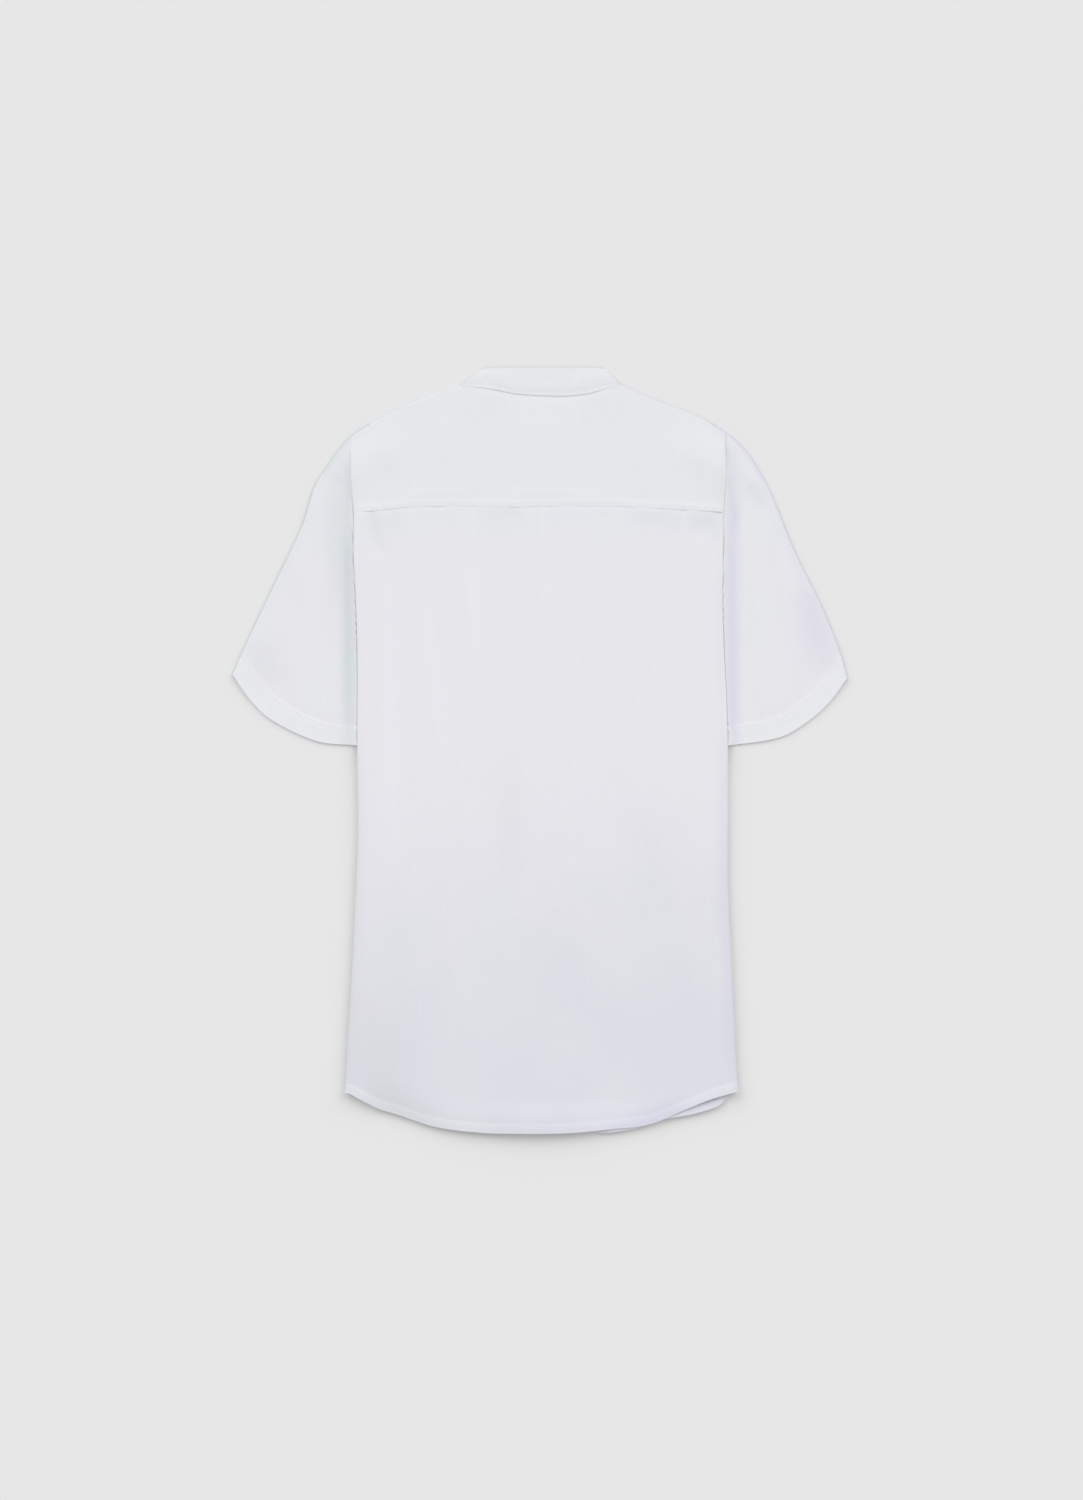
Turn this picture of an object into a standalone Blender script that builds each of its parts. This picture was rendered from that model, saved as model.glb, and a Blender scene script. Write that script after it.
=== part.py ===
"""A short-sleeved mandarin collar shirt, lying flat with its back uppermost.

The frame has +Z up from the surface that the shirt lies on, +Y from the hem to the collar and +X to the
right of someone who looks down on the back. The wearer's left is at -X. All named sizes are in millimetres.
"""

import math
from collections import namedtuple

import bpy

MM = 0.001

# Cloth and clearances
CLOTH = 1.0
BAND_CLOTH = 1.2
SEAM_GAP = 0.3
NECK_CORNER_GAP = 0.5

# Heights of the middle of the cloth above the surface
FLOOR_LAYER = 0.5
BACK_RESTING = 2.2
BACK_OVER_PLACKET = 5.5
SIDE_CREST = 6.9
SHOULDER_CREST = 4.6
NECK_HEIGHT = 5.0
COLLAR_TOP_HEIGHT = 5.6
YOKE_STEP = 0.6
SLEEVE_RESTING = 2.0
SLEEVE_FOLD = 3.0
TUCK_OVER_SLEEVE = 3.3

# Sides of the body, folded under
CREST_WIDTH = 95.0
TUCK_AT_ARMHOLE = 13.0
SIDE_SEAM_TOP_X = 156.0
SIDE_SEAM_HEM_X = 167.0
TUCK_DROP_START = 2.0
TUCK_DROP_END = -27.0
ARMHOLE_X = 171.5
FRONT_NARROWS_FROM = 24.0
FRONT_NARROWS_TO = 8.0
YOKE_FOLD_TOP = 285.0
SHOULDER_SLOPE_WIDTH = 45.0

# Neck and shoulders
FRONT_NECK_Y = 285.0
BAND_HEIGHT = 27.0
BAND_END_X = 1.5
FRONT_YOKE_DEPTH = 28.0

# Placket and buttons
PLACKET_HALF = 14.0
PLACKET_FLAT_HALF = 15.0
PLACKET_RAMP_END = 43.0
RIDGE_END = 60.0
LEFT_LIFT = 2.3
RIGHT_LIFT = 3.6
BUTTON_COUNT = 7
BUTTON_TOP_Y = 245.0
BUTTON_SPACING = 88.0
BUTTON_RADIUS = 5.5
BUTTON_THICKNESS = 2.0
BUTTON_RIM = 1.2
BUTTON_DISH = 0.5
BUTTON_STEPS = 20

# Sleeves
UNDERARM_Y = 60.0
SLEEVE_FOLD_REACH = 0.3
SLEEVE_CORNER_BLEND = 3

# Mesh density
ROLL_STEPS = 5
TUCK_STEPS = 1
SLEEVE_ACROSS = 9
SLEEVE_ALONG = 9
SLEEVE_ROLL_STEPS = 4
COLLAR_UP_STEPS = 2
NECK_STEPS = 12
SHOULDER_STEPS = 4
FRONT_NECK_STEPS = 8
FRONT_YOKE_NECK_STEPS = 2
FRONT_SHOULDER_STEPS = 4

# Shares of a panel's length where its rows stand
YOKE_ROWS = [0.0, 0.3, 0.6, 0.8, 1.0]
BACK_ROWS = [0.0, 0.1, 0.2, 0.3, 0.38, 0.41, 0.435, 0.46, 0.55, 0.65, 0.75, 0.85, 0.93, 1.0]
FRONT_ROWS = [0.0, 0.1, 0.2, 0.3, 0.41, 0.445, 0.55, 0.65, 0.75, 0.85, 0.93, 1.0]

# The shirt's extreme edges lie evenly about the origin
CENTRE_X = -1.0
CENTRE_Y = 0.0

WHITE_LINEN = (0.84, 0.85, 0.88, 1.0)
WHITE_BUTTON = (0.86, 0.85, 0.82, 1.0)
LINEN_ROUGHNESS = 0.9
BUTTON_ROUGHNESS = 0.3

# Where the body's two folded sides lie, from the hem up to the shoulder
SideRow = namedtuple("SideRow", "y left right")
SIDES = [
    SideRow(-342, -196.0, 197.0),
    SideRow(-302, -194.0, 194.7),
    SideRow(-246, -190.5, 192.0),
    SideRow(-190, -187.5, 189.5),
    SideRow(-134, -185.0, 187.0),
    SideRow(-79, -183.0, 187.0),
    SideRow(5, -184.0, 187.0),
    SideRow(150, -185.0, 184.5),
    SideRow(245, -186.0, 184.0),
    SideRow(295, -189.0, 186.0),
    SideRow(320, -189.0, 187.0),
]

# Lines that cross the body: the back hem, the hem of what lies beneath it, the yoke seam, the neck seam
LineRow = namedtuple("LineRow", "x y")
BACK_HEM = [
    LineRow(-196, -342.5),
    LineRow(-167, -357.5),
    LineRow(-148, -363.5),
    LineRow(-108, -376.0),
    LineRow(-64, -381.5),
    LineRow(-35, -382.5),
    LineRow(27, -382.0),
    LineRow(69, -378.5),
    LineRow(111, -373.5),
    LineRow(148, -358.5),
    LineRow(173, -348.5),
    LineRow(197, -341.5),
]
UNDER_HEM = [
    LineRow(-196, -342.5),
    LineRow(-150, -359.0),
    LineRow(-110, -372.0),
    LineRow(-60, -378.5),
    LineRow(40, -379.5),
    LineRow(60, -382.4),
    LineRow(93, -377.6),
    LineRow(120, -369.0),
    LineRow(148, -366.0),
    LineRow(165, -360.5),
    LineRow(181, -354.0),
    LineRow(197, -341.5),
]
YOKE_SEAM = [
    LineRow(-186, 239.5),
    LineRow(-158, 242.5),
    LineRow(-137, 246.5),
    LineRow(-96, 249.5),
    LineRow(-60, 249.0),
    LineRow(-40, 246.5),
    LineRow(65, 247.5),
    LineRow(119, 244.5),
    LineRow(184, 240.0),
]
NECK_SEAM = [
    LineRow(-80, 366.0),
    LineRow(-50, 362.5),
    LineRow(-27, 358.0),
    LineRow(-3, 356.0),
    LineRow(25, 355.5),
    LineRow(51, 358.5),
    LineRow(77, 366.5),
]

# Outlines in plan, from the neck over the shoulder and down the sleeve's fold to its tip
LEFT_OUTLINE = [
    LineRow(-79, 365.5),
    LineRow(-118, 353.5),
    LineRow(-151, 337.5),
    LineRow(-176, 324.5),
    LineRow(-190, 314.5),
    LineRow(-200, 304.5),
    LineRow(-215, 283.5),
    LineRow(-227, 263.5),
    LineRow(-239, 225.5),
    LineRow(-269, 162.5),
    LineRow(-296, 105.5),
    LineRow(-309, 75.5),
]
RIGHT_OUTLINE = [
    LineRow(78, 366.5),
    LineRow(120, 348.5),
    LineRow(159, 333.5),
    LineRow(187, 316.5),
    LineRow(198, 307.5),
    LineRow(208, 296.5),
    LineRow(218, 280.5),
    LineRow(230, 257.5),
    LineRow(256, 194.5),
    LineRow(280, 146.5),
    LineRow(298, 102.5),
    LineRow(307, 72.0),
]

# Sleeve hems, from the tip to the corner beneath the body
LEFT_SLEEVE_HEM = [
    LineRow(-309, 75.5),
    LineRow(-291, 50.5),
    LineRow(-269, 30.5),
    LineRow(-223, 9.5),
    LineRow(-184, 5.5),
    LineRow(-170, 5.0),
]
RIGHT_SLEEVE_HEM = [
    LineRow(307, 72.0),
    LineRow(288, 47.5),
    LineRow(266, 28.5),
    LineRow(239, 13.5),
    LineRow(189, 5.5),
    LineRow(172, 5.0),
]

# Upper corners of the flattened collar
COLLAR_LEFT_TOP = LineRow(-60, 382.0)
COLLAR_RIGHT_TOP = LineRow(64, 382.5)
COLLAR_TOP_Y = 383.0

# Which way the neck's corner folds over, in plan
NECK_FOLD = (0.6, 0.8)


def mix(start, end, share):
    return start + (end - start) * share


def mix_points(start, end, share):
    return (mix(start[0], end[0], share), mix(start[1], end[1], share))


def smooth_step(start, end, at):
    """0 at start and 1 at end, level at both."""
    share = min(max((at - start) / (end - start), 0.0), 1.0)
    return share * share * (3.0 - 2.0 * share)


def even_stops(count):
    return [step / count for step in range(count + 1)]


def slope_at(keys, values, index):
    before = max(index - 1, 0)
    after = min(index + 1, len(keys) - 1)
    return (values[after] - values[before]) / (keys[after] - keys[before])


def smooth_value(keys, values, at):
    """The value at one place on a smooth curve through a table's rows, whose keys rise."""
    at = min(max(at, keys[0]), keys[-1])
    index = max(i for i in range(len(keys) - 1) if keys[i] <= at)
    span = keys[index + 1] - keys[index]
    share = (at - keys[index]) / span
    first = values[index] + share * span * slope_at(keys, values, index)
    last = values[index + 1] - (1.0 - share) * span * slope_at(keys, values, index + 1)
    return mix(first, last, smooth_step(0.0, 1.0, share))


def read_table(rows, key, column, at):
    keys = [getattr(row, key) for row in rows]
    values = [getattr(row, column) for row in rows]
    return smooth_value(keys, values, at)


class Path:
    """A smooth line in plan through a table's points, measured by its share of the whole length."""

    def __init__(self, rows):
        self.xs = [row.x for row in rows]
        self.ys = [row.y for row in rows]
        self.keys = [0.0]
        for start, end in zip(rows, rows[1:]):
            self.keys.append(self.keys[-1] + math.hypot(end.x - start.x, end.y - start.y))

    def point(self, share):
        at = share * self.keys[-1]
        return (smooth_value(self.keys, self.xs, at), smooth_value(self.keys, self.ys, at))

    def outward(self, share, side):
        """The unit vector in plan that points away from the garment, square to the line."""
        reach = 0.01
        start = self.point(max(share - reach, 0.0))
        end = self.point(min(share + reach, 1.0))
        along = (end[0] - start[0], end[1] - start[1])
        length = math.hypot(along[0], along[1])
        return (-side * along[1] / length, side * along[0] / length)

    def share_at_x(self, x):
        low, high = 0.0, 1.0
        for _ in range(40):
            middle = (low + high) / 2.0
            if abs(self.point(middle)[0]) < abs(x):
                low = middle
            else:
                high = middle
        return low


def shifted(point, direction, distance):
    return (point[0] + direction[0] * distance, point[1] + direction[1] * distance)


# --- Shared shape of the body ---------------------------------------------------------------------------


def side_x(side, y):
    """The outer edge of the folded body: side is -1 on the left and 1 on the right."""
    return read_table(SIDES, "y", "left" if side < 0 else "right", y)


def tuck_height(y):
    """The folded-under cloth lies on the sleeve beside the armhole and on the surface below it."""
    return mix(TUCK_OVER_SLEEVE, FLOOR_LAYER, smooth_step(TUCK_DROP_START, TUCK_DROP_END, y))


def side_seam_x(side, y):
    """The straight seam beneath the body where the folded back meets the front."""
    share = (y - TUCK_DROP_END) / (SIDES[0].y - TUCK_DROP_END)
    return side * mix(SIDE_SEAM_TOP_X, SIDE_SEAM_HEM_X, share)


def tuck_end_x(side, y):
    """The inner end of the folded-under cloth."""
    at_armhole = side_x(side, y) - side * TUCK_AT_ARMHOLE
    return mix(at_armhole, side_seam_x(side, y), smooth_step(TUCK_DROP_START, TUCK_DROP_END, y))


def roll_radius(y):
    return (SIDE_CREST - tuck_height(y)) / 2.0


def roll_centre_x(side, y):
    return side_x(side, y) - side * (roll_radius(y) + CLOTH / 2.0)


def body_height(x, y):
    """The middle of the back's cloth: high over the folded sides, and over the placket at the centre."""
    inward = min(x - roll_centre_x(-1, y), roll_centre_x(1, y) - x)
    crest = (SIDE_CREST - BACK_RESTING) * (1.0 - smooth_step(0.0, CREST_WIDTH, inward))
    ridge = (BACK_OVER_PLACKET - BACK_RESTING) * (1.0 - smooth_step(PLACKET_FLAT_HALF, RIDGE_END, abs(x)))
    return BACK_RESTING + crest + ridge


def shoulder_xs(side):
    """Distances from the centre of the shoulder's grid lines: neck, armhole, and last the body's edge."""
    neck = abs(outline_rows(side)[0].x)
    folded = [mix(neck, ARMHOLE_X - SEAM_GAP, share) for share in even_stops(SHOULDER_STEPS)]
    return folded + [abs(side_x(side, SIDES[-1].y))]


def outline_rows(side):
    return LEFT_OUTLINE if side < 0 else RIGHT_OUTLINE


def column_shares():
    """Grid lines across the back, as shares of its width: left shoulder, neck and right shoulder."""
    left_edge, right_edge = side_x(-1, SIDES[-1].y), side_x(1, SIDES[-1].y)
    width = right_edge - left_edge
    left_part = [(-x - left_edge) / width for x in reversed(shoulder_xs(-1))]
    right_part = [(x - left_edge) / width for x in shoulder_xs(1)]
    middle = [mix(left_part[-1], right_part[0], share) for share in even_stops(NECK_STEPS)[1:-1]]
    return left_part, middle, right_part


def side_fold(side, y):
    """The edge of the body from the inner end of the tuck round to the top, as (x, z) points."""
    radius = roll_radius(y)
    centre_x = roll_centre_x(side, y)
    low = tuck_height(y)
    points = [(mix(tuck_end_x(side, y), centre_x, share), low) for share in even_stops(TUCK_STEPS)]
    for step in range(1, ROLL_STEPS):
        angle = math.pi * step / ROLL_STEPS
        points.append((centre_x + side * radius * math.sin(angle), low + radius * (1.0 - math.cos(angle))))
    return points


# --- Meshes ----------------------------------------------------------------------------------------------


class Surface:
    """An open sheet of quads that is gathered point by point and then given its wall."""

    def __init__(self):
        self.points = []
        self.faces = []

    def add_row(self, row):
        start = len(self.points)
        self.points.extend(row)
        return list(range(start, start + len(row)))

    def join(self, first, second, closed=False):
        """Faces between two rows of point numbers of equal length; None marks a place with no cloth."""
        count = len(first)
        for index in range(count if closed else count - 1):
            after = (index + 1) % count
            corners = [first[index], first[after], second[after], second[index]]
            if None not in corners:
                self.faces.append(corners)


def plain_material(name, colour, roughness):
    material = bpy.data.materials.new(name)
    material.use_nodes = True
    shader = material.node_tree.nodes["Principled BSDF"]
    shader.inputs["Base Color"].default_value = colour
    shader.inputs["Roughness"].default_value = roughness
    shader.inputs["Metallic"].default_value = 0.0
    material.diffuse_color = colour
    return material


def place(mesh_object, parts, holder):
    mesh_object.parent = holder
    parts.objects.link(mesh_object)
    return mesh_object


def cloth_object(name, surface, wall, parts, holder):
    """One cloth piece: its surface in the middle of the wall, and Solidify to give the wall."""
    mesh = bpy.data.meshes.new(name)
    mesh.from_pydata([(x * MM, y * MM, z * MM) for x, y, z in surface.points], [], surface.faces)
    mesh.materials.append(plain_material(name + "_cloth", WHITE_LINEN, LINEN_ROUGHNESS))
    mesh.shade_smooth()
    mesh.set_sharp_from_angle(angle=math.radians(50))
    piece = place(bpy.data.objects.new(name, mesh), parts, holder)
    solidify = piece.modifiers.new("wall", "SOLIDIFY")
    solidify.thickness = wall * MM
    solidify.offset = 0.0
    solidify.use_even_offset = True
    return piece


# --- Back and yoke ---------------------------------------------------------------------------------------


def seam_y(share):
    left, right = roll_centre_x(-1, YOKE_SEAM[0].y), roll_centre_x(1, YOKE_SEAM[0].y)
    return read_table(YOKE_SEAM, "x", "y", mix(left, right, share))


def hem_y(share):
    return read_table(BACK_HEM, "x", "y", mix(BACK_HEM[0].x, BACK_HEM[-1].x, share))


def folded_row_y(side, along, around):
    """Height up the page of a row at the folded side; around is 0 beneath and 1 on top."""
    edge = 0.0 if side < 0 else 1.0
    inner_x = mix(side * SIDE_SEAM_HEM_X, side_x(side, SIDES[0].y), around)
    hem = mix(read_table(UNDER_HEM, "x", "y", inner_x), hem_y(edge), around)
    return mix(seam_y(edge) - SEAM_GAP, hem, along)


def folded_side_points(side, along):
    """One row's points round the folded side, from the tuck's inner end to the last before the top."""
    count = TUCK_STEPS + ROLL_STEPS
    points = []
    for index in range(count):
        around = min(index / TUCK_STEPS, 1.0)
        y = folded_row_y(side, along, around)
        x, z = side_fold(side, y)[index]
        points.append((x, y, z))
    return points


def make_back_panel(parts, holder):
    left_part, middle, right_part = column_shares()
    surface = Surface()
    previous = None
    for along in BACK_ROWS:
        row = folded_side_points(-1, along)
        for share in left_part + middle + right_part:
            y = mix(seam_y(share) - SEAM_GAP, hem_y(share), along)
            x = mix(roll_centre_x(-1, y), roll_centre_x(1, y), share)
            row.append((x, y, body_height(x, y)))
        row.extend(reversed(folded_side_points(1, along)))
        numbers = surface.add_row(row)
        if previous:
            surface.join(numbers, previous)
        previous = numbers
    return cloth_object("back_panel", surface, CLOTH, parts, holder)


def yoke_height(x, y, below_edge):
    """The yoke rests like the back a step higher, and comes down to the shoulder fold or the neck seam."""
    at_neck = 1.0 - smooth_step(abs(LEFT_OUTLINE[0].x), abs(LEFT_OUTLINE[0].x) + CREST_WIDTH / 4.0, abs(x))
    edge = mix(SHOULDER_CREST, NECK_HEIGHT, at_neck)
    return mix(edge, body_height(x, y) + YOKE_STEP, smooth_step(0.0, SHOULDER_SLOPE_WIDTH, below_edge))


def shoulder_share(side, out_x):
    """0 at the neck and 1 at the armhole, for a place along the shoulder."""
    neck = abs(outline_rows(side)[0].x)
    return (out_x - neck) / (ARMHOLE_X - SEAM_GAP - neck)


def shoulder_direction(side, out_x):
    """Which way the shoulder folds over; it turns to meet the collar's fold and the sleeve's end."""
    path = Path(outline_rows(side))
    share = shoulder_share(side, out_x)
    reach = 1.0 / SHOULDER_STEPS
    outward = path.outward(path.share_at_x(out_x), side)
    turned = mix_points((side * NECK_FOLD[0], NECK_FOLD[1]), outward, smooth_step(0.0, reach, share))
    turned = mix_points(turned, (0.0, 1.0), smooth_step(1.0 - reach, 1.0, share))
    length = math.hypot(turned[0], turned[1])
    return (turned[0] / length, turned[1] / length)


def shoulder_roll_radius():
    return (SHOULDER_CREST - FLOOR_LAYER) / 2.0


def neck_corner(side):
    """Where the collar's and the yoke's folds meet, a fold's reach inside the outline."""
    row = outline_rows(side)[0]
    inset = (NECK_HEIGHT - FLOOR_LAYER) / 2.0 + BAND_CLOTH / 2.0
    return shifted((row.x, row.y), (side * NECK_FOLD[0], NECK_FOLD[1]), -inset)


def neck_seam_point(share):
    """The seam of the yoke and the collar's back half, from 0 at the left fold to 1 at the right."""
    left, right = neck_corner(-1), neck_corner(1)
    x, ends_y = mix_points(left, right, share)
    return (x, mix(read_table(NECK_SEAM, "x", "y", x), ends_y, at_neck_ends(share)))


def at_neck_ends(share):
    """1 at the neck's two corners and 0 between them."""
    return (2.0 * share - 1.0) ** 8


def shoulder_point(side, out_x):
    """The top layer's last point before the shoulder fold, at a distance from the centre."""
    if shoulder_share(side, out_x) == 0.0:
        return shifted(neck_corner(side), (side * NECK_FOLD[1], -NECK_FOLD[0]), NECK_CORNER_GAP)
    path = Path(outline_rows(side))
    edge = path.share_at_x(out_x)
    y = shifted(path.point(edge), path.outward(edge, side), -shoulder_roll_radius() - CLOTH / 2.0)[1]
    return (side * out_x, y)


def front_neck_point(side, steps, extra):
    """A point on the front neckline, an ellipse's quarter that steps down from the neck's corner."""
    corner = neck_corner(side)
    angle = math.pi / 2.0 * steps / FRONT_NECK_STEPS
    x = (abs(corner[0]) + extra) * math.cos(angle)
    y = corner[1] - (corner[1] - FRONT_NECK_Y + extra) * math.sin(angle)
    return (side * x, y)


def front_yoke_end(side):
    """The lower armhole corner of the strip of yoke that lies beneath the shoulder."""
    x, y = shoulder_point(side, ARMHOLE_X - SEAM_GAP)
    return (x, y - FRONT_YOKE_DEPTH)


def under_yoke_point(side, out_x, depth):
    """The strip beneath the shoulder, depth being 0 at the fold and 1 at its seam with the front."""
    places = shoulder_xs(side)
    neck_top, arm_top = shoulder_point(side, places[0]), shoulder_point(side, places[-2])
    neck = front_neck_point(side, FRONT_YOKE_NECK_STEPS * depth, NECK_CORNER_GAP)
    arm = mix_points(arm_top, front_yoke_end(side), depth)
    across = shoulder_share(side, out_x)
    top = shoulder_point(side, out_x)
    straight_top = mix_points(neck_top, arm_top, across)
    bulge = (top[0] - straight_top[0], top[1] - straight_top[1])
    return shifted(mix_points(neck, arm, across), bulge, 1.0 - depth)


def add_shoulder_fold(surface, side, top_numbers):
    """The roll over the shoulder and the strip beneath it, from the numbered points of the top row."""
    places = shoulder_xs(side)[:-1]
    previous = top_numbers
    for step in range(1, ROLL_STEPS + 1):
        angle = math.pi * step / ROLL_STEPS
        row = []
        for out_x, number in zip(places, top_numbers):
            x, y, crest = surface.points[number]
            radius = (crest - FLOOR_LAYER) / 2.0
            x, y = shifted((x, y), shoulder_direction(side, out_x), radius * math.sin(angle))
            row.append((x, y, FLOOR_LAYER + radius * (1.0 + math.cos(angle))))
        numbers = surface.add_row(row)
        join_with_side(surface, previous, numbers, side)
        previous = numbers
    for depth in even_stops(FRONT_YOKE_NECK_STEPS)[1:]:
        row = [(*under_yoke_point(side, out_x, depth), FLOOR_LAYER) for out_x in places]
        numbers = surface.add_row(row)
        join_with_side(surface, previous, numbers, side)
        previous = numbers


def join_with_side(surface, first, second, side):
    """Rows on the left run the other way, so that faces there keep the same side up."""
    if side > 0:
        surface.join(first, second)
    else:
        surface.join(list(reversed(first)), list(reversed(second)))


def make_back_yoke(parts, holder):
    left_part, middle, right_part = column_shares()
    top_edge = [shoulder_point(-1, out_x) for out_x in reversed(shoulder_xs(-1))]
    for share in even_stops(NECK_STEPS)[1:-1]:
        x, y = neck_seam_point(share)
        top_edge.append((x, y - SEAM_GAP / 2.0))
    top_edge.extend(shoulder_point(1, out_x) for out_x in shoulder_xs(1))

    surface = Surface()
    previous = None
    for along in YOKE_ROWS:
        top_points = []
        for share, edge_point in zip(left_part + middle + right_part, top_edge):
            seam = seam_y(share)
            start = (mix(roll_centre_x(-1, seam), roll_centre_x(1, seam), share), seam)
            x, y = mix_points(start, edge_point, along)
            top_points.append((x, y, yoke_height(x, y, edge_point[1] - y)))
        left_numbers = add_yoke_side(surface, -1, top_points[0])
        right_numbers = add_yoke_side(surface, 1, top_points[-1])
        row = left_numbers + surface.add_row(top_points) + list(reversed(right_numbers))
        if previous:
            surface.join(previous, row)
        previous = row
    top_row = [number for number in previous if number is not None]
    add_shoulder_fold(surface, -1, list(reversed(top_row[1:len(left_part)])))
    add_shoulder_fold(surface, 1, top_row[-len(right_part):-1])
    return cloth_object("back_yoke", surface, CLOTH, parts, holder)


def add_yoke_side(surface, side, end_point):
    """The numbered points of the yoke's folded side, which stops where the shoulder slopes down."""
    x, y, crest = end_point
    if y > YOKE_FOLD_TOP:
        return [None] * (TUCK_STEPS + ROLL_STEPS)
    radius = (crest - TUCK_OVER_SLEEVE) / 2.0
    inner = x - side * (TUCK_AT_ARMHOLE - radius)
    points = [(mix(inner, x, share), y, TUCK_OVER_SLEEVE) for share in even_stops(TUCK_STEPS)]
    for step in range(1, ROLL_STEPS):
        angle = math.pi * step / ROLL_STEPS
        rise = radius * (1.0 - math.cos(angle))
        points.append((x + side * radius * math.sin(angle), y, TUCK_OVER_SLEEVE + rise))
    return surface.add_row(points)


# --- Fronts ----------------------------------------------------------------------------------------------


def placket_lift(side, x):
    """The fronts rise over the buttons to the placket, the right one on top of the left."""
    highest = LEFT_LIFT if side < 0 else RIGHT_LIFT
    return highest * (1.0 - smooth_step(PLACKET_FLAT_HALF, PLACKET_RAMP_END, side * x))


def front_side_x(side, y):
    """The outer edge of a front: the armhole seam, then the side seam beneath the folded body."""
    narrowed = smooth_step(FRONT_NARROWS_FROM, FRONT_NARROWS_TO, y)
    edge = mix(side * ARMHOLE_X, side_seam_x(side, y), narrowed)
    return edge - side * SEAM_GAP


def front_top_points(side):
    """The upper edge of a front, from the placket's edge along the neckline and the seam with the yoke."""
    lowest = front_neck_point(side, FRONT_NECK_STEPS, SEAM_GAP)[1]
    points = [(-side * PLACKET_HALF, lowest), (0.0, lowest)]
    for steps in range(FRONT_NECK_STEPS - 1, FRONT_YOKE_NECK_STEPS - 1, -1):
        points.append(front_neck_point(side, steps, SEAM_GAP))
    neck, end = points[-1], front_yoke_end(side)
    for share in even_stops(FRONT_SHOULDER_STEPS)[1:]:
        points.append(mix_points(neck, end, share))
    seam = FRONT_NECK_STEPS - FRONT_YOKE_NECK_STEPS + 1
    return points[:seam] + [(x, y - SEAM_GAP) for x, y in points[seam:]]


def front_spread(top_points, side):
    """Where each column of a front ends at the hem: straight below the placket, evenly spaced outside it."""
    straight = [x for x, y in top_points if side * x <= PLACKET_RAMP_END]
    start = straight[-1]
    edge = front_side_x(side, SIDES[0].y)
    spread = even_stops(len(top_points) - len(straight))[1:]
    return straight + [mix(start, edge, share) for share in spread], start


def make_front(side, parts, holder):
    top_points = front_top_points(side)
    hem_xs, start = front_spread(top_points, side)
    top_end = top_points[-1][0]
    hem_end = hem_xs[-1]
    surface = Surface()
    previous = None
    for along in FRONT_ROWS:
        row = []
        for (top_x, top_y), hem_x in zip(top_points, hem_xs):
            y = mix(top_y, read_table(UNDER_HEM, "x", "y", hem_x), along)
            x = top_x
            if side * top_x > side * start:
                top_share = (top_x - start) / (top_end - start)
                hem_share = (hem_x - start) / (hem_end - start)
                share = mix(top_share, hem_share, smooth_step(0.0, 1.0, along))
                x = mix(start, front_side_x(side, y), share)
            row.append((x, y, FLOOR_LAYER + placket_lift(side, x)))
        numbers = surface.add_row(row)
        if previous:
            join_with_side(surface, numbers, previous, side)
        previous = numbers
    name = "left_front" if side < 0 else "right_front"
    return cloth_object(name, surface, CLOTH, parts, holder)


# --- Sleeves ---------------------------------------------------------------------------------------------


class SleevePlan:
    """A sleeve seen from above: a patch between its fold, its hem, its underarm and its armhole."""

    def __init__(self, side):
        self.side = side
        self.outline = Path(outline_rows(side))
        self.hem = Path(LEFT_SLEEVE_HEM if side < 0 else RIGHT_SLEEVE_HEM)
        self.first = self.outline.share_at_x(ARMHOLE_X)
        over = ARMHOLE_X - abs(self.outer(0.0)[0])
        self.first = self.outline.share_at_x(ARMHOLE_X + over)

    def fold_direction(self, along):
        return self.outline.outward(mix(self.first, 1.0, along), self.side)

    def fold_height(self, along):
        return mix(SLEEVE_RESTING, SLEEVE_FOLD, smooth_step(0.0, 0.5, along))

    def outer(self, along):
        """The middle of the cloth just before the outer fold."""
        inset = (self.fold_height(along) - FLOOR_LAYER) / 2.0 + CLOTH / 2.0
        share = mix(self.first, 1.0, along)
        return shifted(self.outline.point(share), self.fold_direction(along), -inset)

    def inner(self, along):
        y = mix(UNDERARM_Y, self.hem.ys[-1], along)
        inset = (SLEEVE_RESTING - FLOOR_LAYER) / 2.0 + CLOTH / 2.0
        return (self.side * (ARMHOLE_X + inset), y)

    def armhole(self, across):
        start, end = self.outer(0.0), self.inner(0.0)
        seam_x = self.side * ARMHOLE_X
        slip = (end[0] - seam_x) * across ** SLEEVE_CORNER_BLEND
        slip += (start[0] - seam_x) * (1.0 - across) ** SLEEVE_CORNER_BLEND
        return (seam_x + slip, mix(start[1], end[1], across))

    def hemline(self, across):
        x, y = self.hem.point(across)
        start, end = self.outer(1.0), self.inner(1.0)
        near_start = (1.0 - across) ** SLEEVE_CORNER_BLEND
        near_end = across ** SLEEVE_CORNER_BLEND
        x += (start[0] - self.hem.xs[0]) * near_start + (end[0] - self.hem.xs[-1]) * near_end
        y += (start[1] - self.hem.ys[0]) * near_start + (end[1] - self.hem.ys[-1]) * near_end
        return (x, y)

    def point(self, across, along):
        """A point of the patch, across from outer fold to underarm and along from armhole to hem."""
        between_ends = mix_points(self.armhole(across), self.hemline(across), along)
        between_sides = mix_points(self.outer(along), self.inner(along), across)
        near = mix_points(self.outer(0.0), self.inner(0.0), across)
        far = mix_points(self.outer(1.0), self.inner(1.0), across)
        corners = mix_points(near, far, along)
        return (
            between_ends[0] + between_sides[0] - corners[0],
            between_ends[1] + between_sides[1] - corners[1],
        )


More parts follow.
